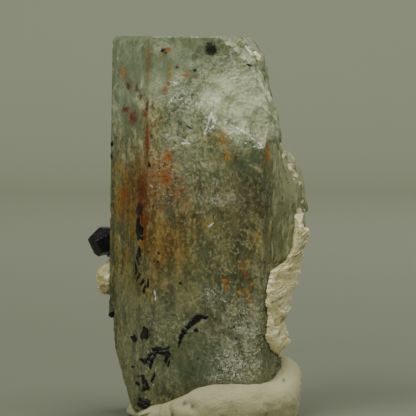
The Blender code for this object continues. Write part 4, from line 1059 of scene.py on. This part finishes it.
def crust_skin():
    """Leafy crust: a rounded sheet over the corner, set with thin overlapping plates."""
    z, out, front = np.array(CRUST_PROFILE).T
    height = np.linspace(z[0] - 0.3, z[-1] + 0.5, CRUST_ROWS)
    out, front = np.interp(height, z, out), np.interp(height, z, front)
    line = up_line(height)
    notch = np.exp(-((height[:, None] - np.array(CRUST_NOTCHES)) / 0.3) ** 2).sum(axis=1)
    out = out - 0.14 + 0.16 * noise(line * 0.75, 171) - 0.38 * notch
    ragged = 0.05 * plates(height * 0.3, height * 1.6, 173)
    front = front + 0.06 + ragged + 0.14 * noise(line * 0.7, 177)
    corner_x, corner_y = RIGHT_CORNER
    start = on_right_faces(front)
    start[:, 1] -= 0.5 * smooth_step(11.3, 12.2, front)
    reach = np.maximum(front, corner_x)
    end = np.broadcast_to(RIGHT_CORNER + RIGHT_BACK_WAY * 6.2, start.shape)
    swell = 0.12 * noise(line * 1.1, 179)
    knots = np.stack((start, start + (0.42, -0.5),
                      plan_points(reach + (out - reach) * 0.42, corner_y - 1.0 + swell),
                      plan_points(out, corner_y + 0.7 + swell),
                      plan_points(out - 0.5, corner_y + 3.0 + swell),
                      plan_points(out - 1.7, corner_y + 5.0 + swell), end), axis=1)
    inner = np.stack((start, np.broadcast_to(RIGHT_CORNER + (0.05, 0.0), start.shape), end), axis=1)
    fade = ends_fade(height, 1.0, 2.2)
    s, z = np.meshgrid(np.linspace(0.0, CRUST_WRAP, CRUST_COLUMNS), height)
    spot = np.stack((s, z, 0.0 * s), axis=-1)
    bend = layered(spot * 0.5, 3, 181)
    wave = z + 0.5 * bend + 0.5 * noise(spot * (0.45, 0.3, 1.0), 187)
    leaves = plates(s * 0.5 + bend, wave * 2.3, 191) * 0.17
    leaves = leaves + plates(s * 1.2 + bend, wave * 4.4, 195) * 0.1
    lumps = noise(spot * (0.5, 0.8, 1.0), 199) * 0.24 + noise(spot * (1.0, 1.7, 1.0), 201) * 0.12
    relief = leaves + lumps + layered(spot * (2.4, 3.6, 1.0), 4, 203) * 0.035
    # fold: how far each point lies below the highest relief near it, for painted shade in the creases
    padded = np.pad(relief, ((FOLD_WINDOW, FOLD_WINDOW), (0, 0)), mode="edge")
    crown = np.max([padded[i:i + len(height)] for i in range(2 * FOLD_WINDOW + 1)], axis=0)
    fold = np.clip((crown - relief) / 0.75, 0.0, 1.0)
    plan = wrap_rings(knots, CRUST_PLACES, inner, fade, relief, CRUST_COLUMNS, 5)
    level = np.repeat(height[:, None], plan.shape[1], axis=1)
    back = ((0, 0), (0, plan.shape[1] - CRUST_COLUMNS))
    lift = np.pad(leaves * 0.35 * fade[:, None], back)
    rings = np.concatenate((plan, (level + lift)[..., None]), axis=-1)
    return make_closed("crust", rings, 40.0, {"fold": np.pad(fold, back, mode="edge")})


def albite_finish(name, warm, dim=0.0):
    """Cream sugary albite with painted yellow-brown shade in its folds and a few rusty dots; dim greys
    it.
    """
    f = Finish(name)
    fold = f.attribute("fold")
    cloud = f.noise((2.2, 2.2, 1.3), 4.0, 0.6)
    fine = f.noise((0.3, 0.3, 0.22), 4.0, 0.7)
    leaves = f.noise((1.3, 1.3, 0.2), 3.0, 0.6, 0.6)
    dots = f.cells((1.4, 1.4, 1.1))
    tone = f.paint(
        (0.90, 0.83, 0.47),
        (cloud.above(0.3, 0.7), (0.99, 0.95, 0.65)),
        # painted shade in the creases, tinted yellow-brown, with the flat warm tint
        ((fold.above(0.15, 0.9) * 0.76 + warm).clamp(), (0.60, 0.44, 0.12)),
        (leaves.above(0.58, 0.72) * 0.5, (0.55, 0.40, 0.13)),
        (fine.above(0.55, 0.8) * 0.5, (0.78, 0.74, 0.60)),
        (dots.above(0.11, 0.05) * 0.8, (0.36, 0.13, 0.03)),
        (dim, (0.40, 0.41, 0.19)))
    bump = f.bump(fine * 0.7 + leaves * 0.9, 0.12)
    return f.close(f.shader(Base_Color=tone, Roughness=0.55, Normal=bump))


# Fluorite cubes on the right flank: centre and edge length
FLUORITE_CUBES = (
    (11.9, -1.3, 29.0, 4.7), (12.4, -2.5, 25.8, 3.5), (11.5, 0.9, 25.6, 4.3), (11.3, -2.7, 31.9, 3.1),
    (10.9, 0.6, 32.2, 3.4), (10.0, 2.6, 28.8, 4.4), (9.6, 3.6, 24.8, 3.3), (11.3, -3.5, 34.0, 1.5),
    (12.7, 0.6, 28.0, 2.7), (13.3, -2.9, 27.9, 1.9), (9.0, 4.8, 31.0, 2.4), (8.6, 5.2, 27.0, 2.6),
)
# Rounded bodies that fill the steps between the cubes: centre and half sizes
FLUORITE_BODIES = (
    ((11.5, -0.7, 28.6), (2.9, 3.7, 6.6)), ((11.2, -2.0, 31.2), (2.0, 2.4, 4.0)),
    ((11.9, -0.9, 25.4), (2.5, 3.4, 4.2)), ((10.4, 2.8, 27.6), (2.3, 3.2, 5.2)),
)
# Smooth front of the fluorite, flush with the crystal: height and reach to the right
FLANK_PROFILE = (
    (20.6, 12.2), (22.5, 13.2), (25.0, 13.75), (28.3, 14.15), (30.9, 14.05), (32.5, 13.35),
    (33.5, 12.5), (34.8, 11.9), (36.2, 11.45),
)
# The axis that the rays of the fluorite start from: height, x and y
FLUORITE_AXIS = (
    (20.4, 12.0, -2.4), (24.0, 12.4, -2.0), (29.0, 12.3, -1.8), (32.0, 11.9, -2.2), (33.6, 11.7, -2.9),
    (35.0, 11.5, -3.4),
)
# Cream crumbs on the fluorite's front rim: x, z, half width, half height
CRUMBS = (
    (11.7, 34.7, 0.35, 0.45), (12.5, 33.1, 0.4, 0.4), (13.3, 32.0, 0.4, 0.35), (13.9, 30.9, 0.25, 0.4),
    (13.7, 27.1, 0.4, 0.6), (13.9, 25.4, 0.5, 0.6), (14.2, 24.0, 0.5, 0.8),
)
FLUORITE_ROWS = 300
FLUORITE_COLUMNS = 240
FLUORITE_SPAN = (20.45, 35.0)
FLANK_ROWS = 260
FLANK_COLUMNS = 150
# Length of the sheet round the corner, and where its knots lie along it
FLANK_WRAP = 9.0
FLANK_PLACES = (0.0, 0.32, 0.52, 0.72, 0.84, 1.0)


def fluorite_boxes():
    """The cubes, turned like the part's own, and the bodies they stand on."""
    draw = random.Random(31)
    spin = turn_matrix(("Z", -30.0))
    boxes = [(ball_span, centre, np.array(half), spin) for centre, half in FLUORITE_BODIES]
    for x, y, z, size in FLUORITE_CUBES:
        lean = draw.uniform(-16.0, 16.0)
        twist = 20.0 + draw.uniform(-9.0, 9.0)
        spin = turn_matrix(("Z", twist), ("Y", lean))
        half = np.array((size, size, size * draw.uniform(1.0, 1.35))) / 2.0
        boxes.append((box_span, (x, y, z), half, spin))
    return boxes


def fluorite_skin():
    """Rays from an upright axis to the rim of the intergrown cubes, with an etched surface."""
    height = np.linspace(*FLUORITE_SPAN, FLUORITE_ROWS)
    origin = axis_points(height, FLUORITE_COLUMNS, FLUORITE_AXIS)
    direction = level_rays(height, FLUORITE_COLUMNS)
    reach = union_reach(origin, direction, fluorite_boxes(), 0.25, 0.3)
    points = origin + direction * reach[..., None]
    etch = layered(points * (0.8, 0.8, 0.5), 4, 181) * 0.09
    etch = etch + layered(points * (3.0, 3.0, 1.0), 3, 185) * 0.02
    reach = np.minimum(reach + etch * smooth_step(0.2, 0.8, reach), crystal_entry(origin, direction))
    rings = origin + direction * reach[..., None]
    return make_closed("fluorite_cubes", rings, 28.0, {"crumb": crumb_mask(rings)})


def flank_skin():
    """The fluorite's front: a thin sheet that runs on from the crystal's face past its corner."""
    z, out = np.array(FLANK_PROFILE).T
    height = np.linspace(z[0], z[-1], FLANK_ROWS)
    out = np.interp(height, z, out) - 0.1
    corner_x, corner_y = RIGHT_CORNER
    thick = 0.3 * smooth_step(36.4, 33.0, height)
    start = on_right_faces(9.9 + 0.35 * noise(up_line(height) * 0.4, 221))
    end = plan_points(np.maximum(out - 1.2, corner_x - 0.4), corner_y + 3.2)
    knots = np.stack((start, plan_points(corner_x - 0.35 + thick, corner_y - 0.6 - thick),
                      plan_points(corner_x + (out - corner_x) * 0.55, corner_y - 0.55 - 1.4 * thick),
                      plan_points(out, corner_y + 1.0),
                      plan_points(out - 0.2, corner_y + 2.3), end), axis=1)
    inner = np.stack((start, np.broadcast_to(RIGHT_CORNER + (0.03, 0.0), start.shape), end), axis=1)
    fade = ends_fade(height, 0.8, 0.8)
    s, level = np.meshgrid(np.linspace(0.0, FLANK_WRAP, FLANK_COLUMNS), height)
    spot = np.stack((s, level, 0.0 * s), axis=-1)
    relief = layered(spot * (0.8, 0.35, 1.0), 4, 225) * 0.10 + plates(s * 0.7, level * 0.35, 229) * 0.07
    plan = wrap_rings(knots, FLANK_PLACES, inner, fade, relief, FLANK_COLUMNS, 7)
    level = np.repeat(height[:, None], plan.shape[1], axis=1)
    rings = np.concatenate((plan, level[..., None]), axis=-1)
    return make_closed("fluorite_front", rings, 28.0, {"crumb": crumb_mask(rings)})


def crumb_mask(points):
    """Cream crumbs of albite that dust the fluorite's rim."""
    dust = smooth_step(0.45, 0.9, layered(points * 0.9, 3, 191))
    total = dust * smooth_step(13.0, 14.0, points[..., 0])
    for x, z, rx, rz in CRUMBS:
        away = ((points[..., 0] - x) / rx) ** 2 + ((points[..., 2] - z) / rz) ** 2
        total = np.maximum(total, np.exp(-0.7 * away) * smooth_step(-2.6, -3.4, points[..., 1]))
    return total


FLUORITE_IOR = 1.43
FLUORITE_DEPTH = ((0.58, 0.64, 0.42), 55.0)


def fluorite_finish():
    """Grey-green fluorite, half see-through, with whitish growth streaks and cream crumbs."""
    f = Finish("fluorite")
    crumb = f.attribute("crumb")
    streak = f.noise((0.7, 0.7, 3.4), 4.0, 0.6, 0.4)
    fine = f.noise((0.35, 0.35, 0.5), 3.0, 0.6)
    cloud = f.noise((2.6, 2.6, 2.6), 3.0, 0.5)
    rim = (crumb * 1.2 + (fine - 0.5) * 2.4 + (streak - 0.5) - 0.62).above(0.0, 0.25)
    rise = f.node("ShaderNodeSeparateXYZ", {}, {0: f.coords}, "Z").above(0.022, 0.034)
    tone = f.paint(
        (0.150, 0.157, 0.058),
        (cloud.above(0.35, 0.65), (0.275, 0.290, 0.125)),
        (rise * 0.85, (0.52, 0.53, 0.275)),
        (streak.above(0.50, 0.68) * 0.45, (0.72, 0.74, 0.45)),
        (fine.above(0.48, 0.36) * 0.5, (0.10, 0.105, 0.04)),
        ((fine * streak).above(0.36, 0.45) * 0.4, (0.36, 0.31, 0.08)),
        (rim, (0.76, 0.70, 0.44)))
    bump = f.bump(streak + fine * 0.6, 0.08)
    glass = f.shader(Base_Color=(0.9, 0.95, 0.86), Roughness=(fine * 0.25 + 0.05).clamp(),
                     IOR=FLUORITE_IOR, Transmission_Weight=1.0, Normal=bump)
    skin = f.shader(Base_Color=tone, Roughness=(fine * 0.3 + 0.3).clamp(),
                    IOR=FLUORITE_IOR, Normal=bump)
    share = (streak.above(0.45, 0.75) * 0.3 + rim * 0.6 + cloud * 0.3 + 0.42).clamp()
    return f.half_clear(share, glass, skin, FLUORITE_DEPTH)


def lump_skin(name, centre, shapes, rough=0.07, grain=1.6, rows=90, columns=110, sharp=40.0,
              masks=None, cut=True):
    """Rays from one point to the rim of joined lumps, roughened, and cut off at the prism."""
    direction = globe_rays(rows, columns)
    origin = np.broadcast_to(np.array(centre), direction.shape)
    reach = union_reach(origin, direction, shapes, 0.1, 0.3)
    points = origin + direction * reach[..., None]
    reach = reach * (1.0 + layered(points * grain, 4, 201) * rough)
    if cut:
        reach = np.minimum(reach, crystal_entry(origin, direction))
    rings = origin + direction * reach[..., None]
    layers = {key: mask(rings) for key, mask in (masks or {}).items()}
    return make_closed(name, rings, sharp, layers)


# Lumps of the cream patch on the left: centre and half sizes
PATCH_LUMPS = (
    ((-11.6, 1.6, 18.0), (1.5, 1.5, 1.9)), ((-11.5, 2.6, 16.9), (1.4, 1.6, 1.2)),
    ((-10.7, 3.6, 19.2), (1.3, 1.5, 1.3)), ((-10.2, 4.8, 17.4), (1.2, 1.4, 1.4)),
)


def patch_skin():
    """The cream patch low on the left side: four fused lumps."""
    lumps = [(ball_span, centre, np.array(radii), np.eye(3)) for centre, radii in PATCH_LUMPS]
    masks = {"fold": lambda p: 0.5 + 0.5 * layered(p * 1.2, 3, 211)}
    return lump_skin("left_patch", (-11.3, 2.6, 17.9), lumps, 0.10, 1.5, masks=masks)


def rod_skin(centre, radius, length, spin, ribs, seed, rows=110, columns=144):
    """A six-sided rod with ribbed sides and three sloping faces at each end, as stacked rings."""
    along = np.linspace(-0.5, 0.5, rows) * length * 0.995
    turn = 2.0 * math.pi * np.arange(columns) / columns
    aim = np.stack((np.cos(turn), np.sin(turn)), axis=-1)
    side_turn = math.tau * (np.arange(6) + 0.5) / 6.0
    sides = np.stack((np.cos(side_turn), np.sin(side_turn)), axis=-1)
    facing = np.maximum(aim @ sides.T, 1e-6)
    apothem = radius * math.cos(math.pi / 6.0)
    reach = np.repeat((apothem / facing).min(axis=-1)[None], rows, axis=0)
    rib = np.abs(np.sin(turn * 17.0 + 2.0 * np.sin(turn * 5.0 + seed))) * 0.5
    rib = rib + np.sin(turn * 41.0) * 0.2
    reach = reach - ribs * rib[None]
    for end in (1.0, -1.0):
        for k in range(3):
            flat = math.tau * k / 3.0 + 0.4
            normal = np.array((math.cos(flat) * ROD_END_SLOPE, math.sin(flat) * ROD_END_SLOPE, end))
            level = length * ROD_END - end * along[:, None]
            slope = aim @ normal[:2]
            cut = np.where(slope > 0.02, level / np.maximum(slope, 0.02), np.inf)
            reach = np.minimum(reach, np.where(np.isfinite(cut), np.maximum(cut, 0.01), np.inf))
    level = np.repeat(along[:, None], columns, axis=1)
    local = np.stack((reach * aim[:, 0], reach * aim[:, 1], level), axis=-1)
    return local @ spin.T + np.array(centre)


# Black rods behind the left edge, the second grown into the first: name, centre, radius, length,
# turns, rib height and seed
SCHORL_RODS = (
    ("schorl_rod", (-12.05, 2.9, 22.9), 2.05, 4.6, (("Y", -24.0), ("X", 14.0)), 0.05, 1.0),
    ("schorl_side_rod", (-10.8, 4.9, 22.2), 1.2, 4.4, (("Y", 32.0), ("X", -30.0)), 0.04, 2.0),
)
# How far out a rod's end faces start, of its length, and their slope
ROD_END = 0.43
ROD_END_SLOPE = 0.55


def schorl_skins():
    """The black rods, each in a closed skin of its own."""
    return [make_closed(name, rod_skin(centre, radius, length, turn_matrix(*turns), ribs, seed), 24.0)
            for name, centre, radius, length, turns, ribs, seed in SCHORL_RODS]


SCHORL_IOR = 1.65


def schorl_finish(name, dust=0.0):
    """Shiny black tourmaline with fine ribs and a dusting of brown."""
    f = Finish(name)
    grain = f.noise((0.25, 0.25, 0.5), 4.0, 0.65)
    cloud = f.noise((1.1, 1.1, 1.4), 3.0, 0.6)
    brown = (grain.above(0.55, 0.75) * cloud.above(0.45, 0.65) + dust).clamp() * 0.6
    tone = f.paint((0.002, 0.0025, 0.003),
                   (cloud.above(0.4, 0.7), (0.007, 0.007, 0.006)), (brown, (0.12, 0.075, 0.035)))
    return f.close(f.shader(Base_Color=tone, Roughness=(grain * 0.35 + 0.10).clamp(), IOR=SCHORL_IOR,
                            Specular_IOR_Level=0.28, Normal=f.bump(grain + cloud, 0.05)))


# Black inclusions on the front face: x, z, half width, half height, lean in degrees
INCLUSIONS = (
    (-7.30, 25.9, 0.26, 0.60, 4.0), (-7.12, 24.9, 0.38, 0.8, -4.0), (-7.10, 24.1, 0.30, 0.55, 3.0),
    (-7.2, 22.0, 0.19, 0.60, 6.0), (-7.38, 21.0, 0.15, 0.6, 12.0), (-7.6, 20.1, 0.13, 0.5, 6.0),
    (-7.56, 19.4, 0.10, 0.4, -20.0), (-7.25, 18.8, 0.11, 0.5, -30.0), (-6.85, 18.1, 0.15, 0.45, -20.0),
    (-6.55, 17.3, 0.14, 0.5, -24.0), (-6.08, 18.1, 0.10, 0.55, -4.0), (-6.55, 11.45, 0.40, 0.70, -12.0),
    (-7.95, 10.6, 0.36, 0.38, 20.0), (0.85, 13.75, 0.62, 0.30, -12.0), (0.40, 13.50, 0.62, 0.42, 38.0),
    (-0.25, 13.05, 0.60, 0.34, 42.0), (-0.85, 12.50, 0.46, 0.28, 46.0),
    (-1.45, 11.80, 0.34, 0.32, -20.0), (-1.70, 11.25, 0.26, 0.46, -20.0),
    (-1.90, 10.65, 0.16, 0.48, -14.0), (-2.05, 10.15, 0.08, 0.36, -8.0),
    (1.45, 13.8, 0.24, 0.10, -16.0), (0.13, 11.96, 0.26, 0.24, 15.0), (-5.15, 9.52, 0.34, 0.26, 6.0),
    (-4.6, 9.62, 0.42, 0.19, -6.0), (-3.85, 9.62, 0.46, 0.20, 4.0), (-3.4, 9.75, 0.22, 0.14, 14.0),
    (-5.0, 9.1, 0.42, 0.2, 24.0), (-4.3, 9.0, 0.46, 0.2, -8.0), (-3.7, 9.05, 0.38, 0.24, 10.0),
    (-3.5, 8.75, 0.28, 0.25, 20.0), (-3.72, 8.25, 0.18, 0.5, -14.0), (-3.42, 7.6, 0.10, 0.45, -14.0),
    (-5.9, 8.75, 0.24, 0.34, -24.0), (-6.15, 8.2, 0.34, 0.2, 20.0), (-6.95, 8.05, 0.32, 0.2, -18.0),
    (-5.65, 8.0, 0.26, 0.36, 20.0), (-5.35, 8.35, 0.3, 0.15, 40.0), (-5.75, 7.35, 0.17, 0.4, -10.0),
    (-6.45, 7.75, 0.3, 0.16, 18.0), (-5.2, 8.8, 0.2, 0.2, 0.0), (-8.15, 6.9, 0.2, 0.12, 30.0),
    (-5.3, 6.1, 0.14, 0.36, -10.0), (-5.55, 5.5, 0.14, 0.32, -18.0), (-6.8, 5.85, 0.22, 0.2, 15.0),
    (-6.65, 5.3, 0.28, 0.46, 10.0), (-6.4, 4.75, 0.32, 0.42, 24.0), (-6.6, 4.3, 0.2, 0.3, -20.0),
    (-7.45, 4.8, 0.26, 0.17, -12.0), (-7.25, 5.8, 0.1, 0.1, 0.0), (-4.72, 22.0, 0.10, 0.17, 20.0),
    (-4.8, 20.9, 0.11, 0.13, -10.0), (-1.9, 18.1, 0.14, 0.17, 30.0), (5.1, 12.4, 0.10, 0.14, 10.0),
    (0.4, 8.3, 0.10, 0.12, 0.0), (-5.9, 33.5, 0.17, 0.24, 15.0), (-0.65, 38.3, 0.34, 0.07, -28.0),
    (7.75, 46.4, 0.28, 0.10, -30.0), (-10.9, 35.9, 0.10, 0.3, 0.0), (-10.95, 34.3, 0.10, 0.4, 0.0),
    (-4.0, 48.4, 0.12, 0.12, 0.0), (-3.75, 48.0, 0.16, 0.1, 20.0),
)
# Growth of the blades over the table's sizes, and their half thickness
BLADE_GROWTH = 1.04
BLADE_DEPTH = 0.11
# Blades further left than this lie on the left-hand face
LEFT_FACE_LIMIT = -6.2


def inclusion_skin():
    """Small flat black blades that lie in the crystal's front skin, a hair proud of it."""
    table = np.array(INCLUSIONS)
    globe = globe_rays(12, 18)
    x, z = table[:, 0], table[:, 1]
    face = np.where(x < LEFT_FACE_LIMIT, LEFT_FRONT, FRONT)
    plane = FACE_NORMALS[face]
    reach = face_reach(z)[np.arange(len(z)), face]
    y = (reach - plane[:, 0] * x) / plane[:, 1]
    aim = np.stack((x, y), axis=-1)
    length = np.linalg.norm(aim, axis=-1, keepdims=True)
    skin = prism_reach((aim / length)[None], z[None], True)[0][0]
    spot = np.concatenate((aim / length * (skin[:, None] - 0.015), z[:, None]), axis=-1)
    lean = np.radians(table[:, 4])
    square = (np.abs(globe) ** 4).sum(axis=-1, keepdims=True) ** -0.25
    rough = 1.0 + 0.4 * layered(globe[None] * 1.5 + spot[:, None, None] * 3.0, 3, 221)
    shape = (globe * square)[None] * rough[..., None]
    across = shape[..., 0] * table[:, 2, None, None] * BLADE_GROWTH
    deep = shape[..., 1] * BLADE_DEPTH
    up = shape[..., 2] * table[:, 3, None, None] * BLADE_GROWTH
    c, s = np.cos(lean)[:, None, None], np.sin(lean)[:, None, None]
    turned_across = across * c - up * s
    turned_up = across * s + up * c
    side = np.stack((-plane[:, 1], plane[:, 0]), axis=-1)[:, None, None]
    turned_across = turned_across / np.abs(plane[:, 1])[:, None, None]
    flat = side * turned_across[..., None] + plane[:, None, None] * deep[..., None]
    points = np.concatenate((flat, turned_up[..., None]), axis=-1) + spot[:, None, None]
    return make_closed("black_blades", points)


# Grains and chips: name, centre, lumps (shape, centre, half sizes, turns), roughness, grain, rows,
# columns and the angle of its sharp edges
SMALL_LUMPS = (
    ("foot_chunk", (-6.6, -8.9, 2.5), (
        (box_span, (-6.75, -8.9, 2.35), (0.85, 0.8, 0.42), (("X", 20.0), ("Y", 28.0))),
        (box_span, (-6.35, -8.9, 2.75), (0.62, 0.6, 0.26), (("Y", 6.0),))),
     0.12, 1.1, 90, 110, 30.0),
    ("edge_grain", (-10.95, -0.9, 13.45), (
        (ball_span, (-10.95, -0.9, 13.45), (0.42, 0.5, 0.62), (("Y", 20.0),)),),
     0.25, 2.0, 30, 40, 40.0),
    ("top_grain", (5.95, -5.2, 49.2), (
        (box_span, (5.95, -5.2, 49.2), (0.62, 0.6, 0.5), (("Y", 38.0),)),),
     0.22, 2.0, 40, 50, 40.0),
    ("edge_chip", (8.2, -4.6, 47.5), (
        (box_span, (8.05, -4.6, 47.75), (0.44, 0.4, 0.26), (("Y", 52.0),)),
        (box_span, (8.35, -4.7, 47.3), (0.22, 0.3, 0.34), (("X", 20.0), ("Y", 20.0)))),
     0.3, 2.0, 40, 50, 40.0),
)


def small_skins():
    """The grains and chips of the other minerals: each one lump with its own grain."""
    skins = []
    for name, centre, shapes, *rest in SMALL_LUMPS:
        lumps = [(span, middle, np.array(half), turn_matrix(*turns))
                 for span, middle, half, turns in shapes]
        masks = {"fold": lambda p: np.zeros(p.shape[:-1])} if name == "edge_chip" else None
        skins.append(lump_skin(name, centre, lumps, *rest, masks=masks, cut=False))
    return skins


# Soft lamps: name, place, side and power
LAMPS = (
    ("key_box", (-0.30, -0.34, 0.44), 0.32, 2.05), ("top_box", (0.08, -0.06, 0.50), 0.34, 1.6),
    ("fill_box", (0.45, -0.38, 0.16), 0.40, 0.7), ("back_box", (0.34, 0.30, 0.42), 0.30, 0.9),
    ("glint_box", (-0.12, -0.48, 0.30), 0.07, 0.3),
)
LAMP_AIM = (0.0, 0.0, 0.025)
# The paper sweep in metres: half width, front edge and top edge (Y, Z), start of the bend, its radius
# and the depth where the painted shade of the near floor has faded out
SWEEP_SIDE = 0.9
SWEEP_FRONT = (-0.7, 0.0)
SWEEP_TOP = (0.78, 0.95)
SWEEP_BACK = 0.62
SWEEP_BEND = 0.16
SWEEP_WALL = 0.80
PAPER = (0.565, 0.608, 0.43)
PAPER_FLECK = (0.575, 0.618, 0.438)
# Colour of the painted shade on the floor near the front
PAPER_PAINTED_SHADE = (0.158, 0.172, 0.114)
AIR_COLOUR = (0.80, 0.83, 0.76, 1.0)
AIR_STRENGTH = 0.13


def make_studio():
    """A pale seamless sweep, the studio air and soft lamps."""
    across = np.linspace(-SWEEP_SIDE, SWEEP_SIDE, 3)
    bend = np.radians(np.linspace(-90.0, 0.0, 17))
    back = SWEEP_BACK + SWEEP_BEND * np.cos(bend)
    rise = SWEEP_BEND + SWEEP_BEND * np.sin(bend)
    run = np.concatenate(((SWEEP_FRONT,), np.stack((back, rise), axis=1), (SWEEP_TOP,)))
    points = np.stack(np.broadcast_arrays(across[None, :], run[:, :1], run[:, 1:]), axis=-1)
    sweep = make_mesh("studio_sweep", points.reshape(-1, 3), (grid_faces(len(run), 3, False),))
    f = Finish("sweep_paper")
    tone = f.noise((60.0, 60.0, 60.0), 2.0)
    depth = f.node("ShaderNodeSeparateXYZ", {}, {0: f.coords}, "Y")
    # painted shade: the floor darkens towards the front
    paper = f.paint(PAPER, (tone, PAPER_FLECK), (depth.above(SWEEP_WALL, 0.0), PAPER_PAINTED_SHADE))
    sweep.data.materials.append(f.close(f.shader(Base_Color=paper, Roughness=0.9)))
    world = bpy.data.worlds.new("studio_air")
    world.use_nodes = True
    air = world.node_tree.nodes["Background"].inputs
    air["Color"].default_value = AIR_COLOUR
    air["Strength"].default_value = AIR_STRENGTH
    bpy.context.scene.world = world
    for lamp in LAMPS:
        add_lamp(*lamp)


def add_lamp(name, spot, size, power):
    """A square soft box that looks at the middle of the specimen."""
    lamp = bpy.data.lights.new(name, "AREA")
    lamp.shape = "SQUARE"
    lamp.size = size
    lamp.energy = power
    holder = bpy.data.objects.new(name, lamp)
    bpy.context.scene.collection.objects.link(holder)
    holder.location = spot
    aim = Vector(LAMP_AIM) - Vector(spot)
    holder.rotation_euler = aim.to_track_quat("-Z", "Y").to_euler()


# The view: distance in metres, angle above level, target and width of the frame in mm
CAMERA_DISTANCE = 0.42
CAMERA_RISE = math.radians(3.0)
CAMERA_TARGET = (1.72, 0.0, 27.4)
FRAME_WIDTH = 55.12


def make_camera():
    """A long lens level with the crystal's top; the frame is 55 mm wide at the specimen."""
    lens = bpy.data.cameras.new("photo_lens")
    lens.sensor_width = 36.0
    lens.lens = lens.sensor_width * CAMERA_DISTANCE / (FRAME_WIDTH * MM)
    lens.clip_start = 0.01
    lens.clip_end = 10.0
    camera = bpy.data.objects.new("photo_camera", lens)
    bpy.context.scene.collection.objects.link(camera)
    target = Vector(place(np.array(CAMERA_TARGET)))
    away = Vector((0.0, -math.cos(CAMERA_RISE), math.sin(CAMERA_RISE)))
    camera.location = target + away * CAMERA_DISTANCE
    camera.rotation_euler = (-away).to_track_quat("-Z", "Y").to_euler()
    bpy.context.scene.camera = camera


make_studio()
make_camera()
add_piece(crystal_skin(), aquamarine_finish(), "aquamarine", "aquamarine_prism")
add_piece(putty_skin(), putty_finish(), "putty", "display_putty")
albite = albite_finish("albite", 0.0)
add_piece(crust_skin(), albite, "albite", "albite_crust")
add_piece(patch_skin(), albite_finish("albite_patch", 0.12, 0.38), "albite", "albite_patch")
fluorite = fluorite_finish()
add_piece(fluorite_skin(), fluorite, "fluorite", "fluorite_mass")
add_piece(flank_skin(), fluorite, "fluorite")
schorl = schorl_finish("schorl")
rod, side_rod = schorl_skins()
add_piece(rod, schorl, "schorl", "schorl_crystal")
add_piece(side_rod, schorl, "schorl")
add_piece(inclusion_skin(), schorl, "schorl")
foot_chunk, edge_grain, top_grain, edge_chip = small_skins()
add_piece(foot_chunk, schorl_finish("schorl_foot", 0.08), "schorl", "schorl_foot_chunk")
add_piece(edge_grain, schorl, "schorl", "schorl_edge_grain")
add_piece(top_grain, fluorite, "fluorite", "fluorite_grain")
add_piece(edge_chip, albite, "albite", "albite_chip")
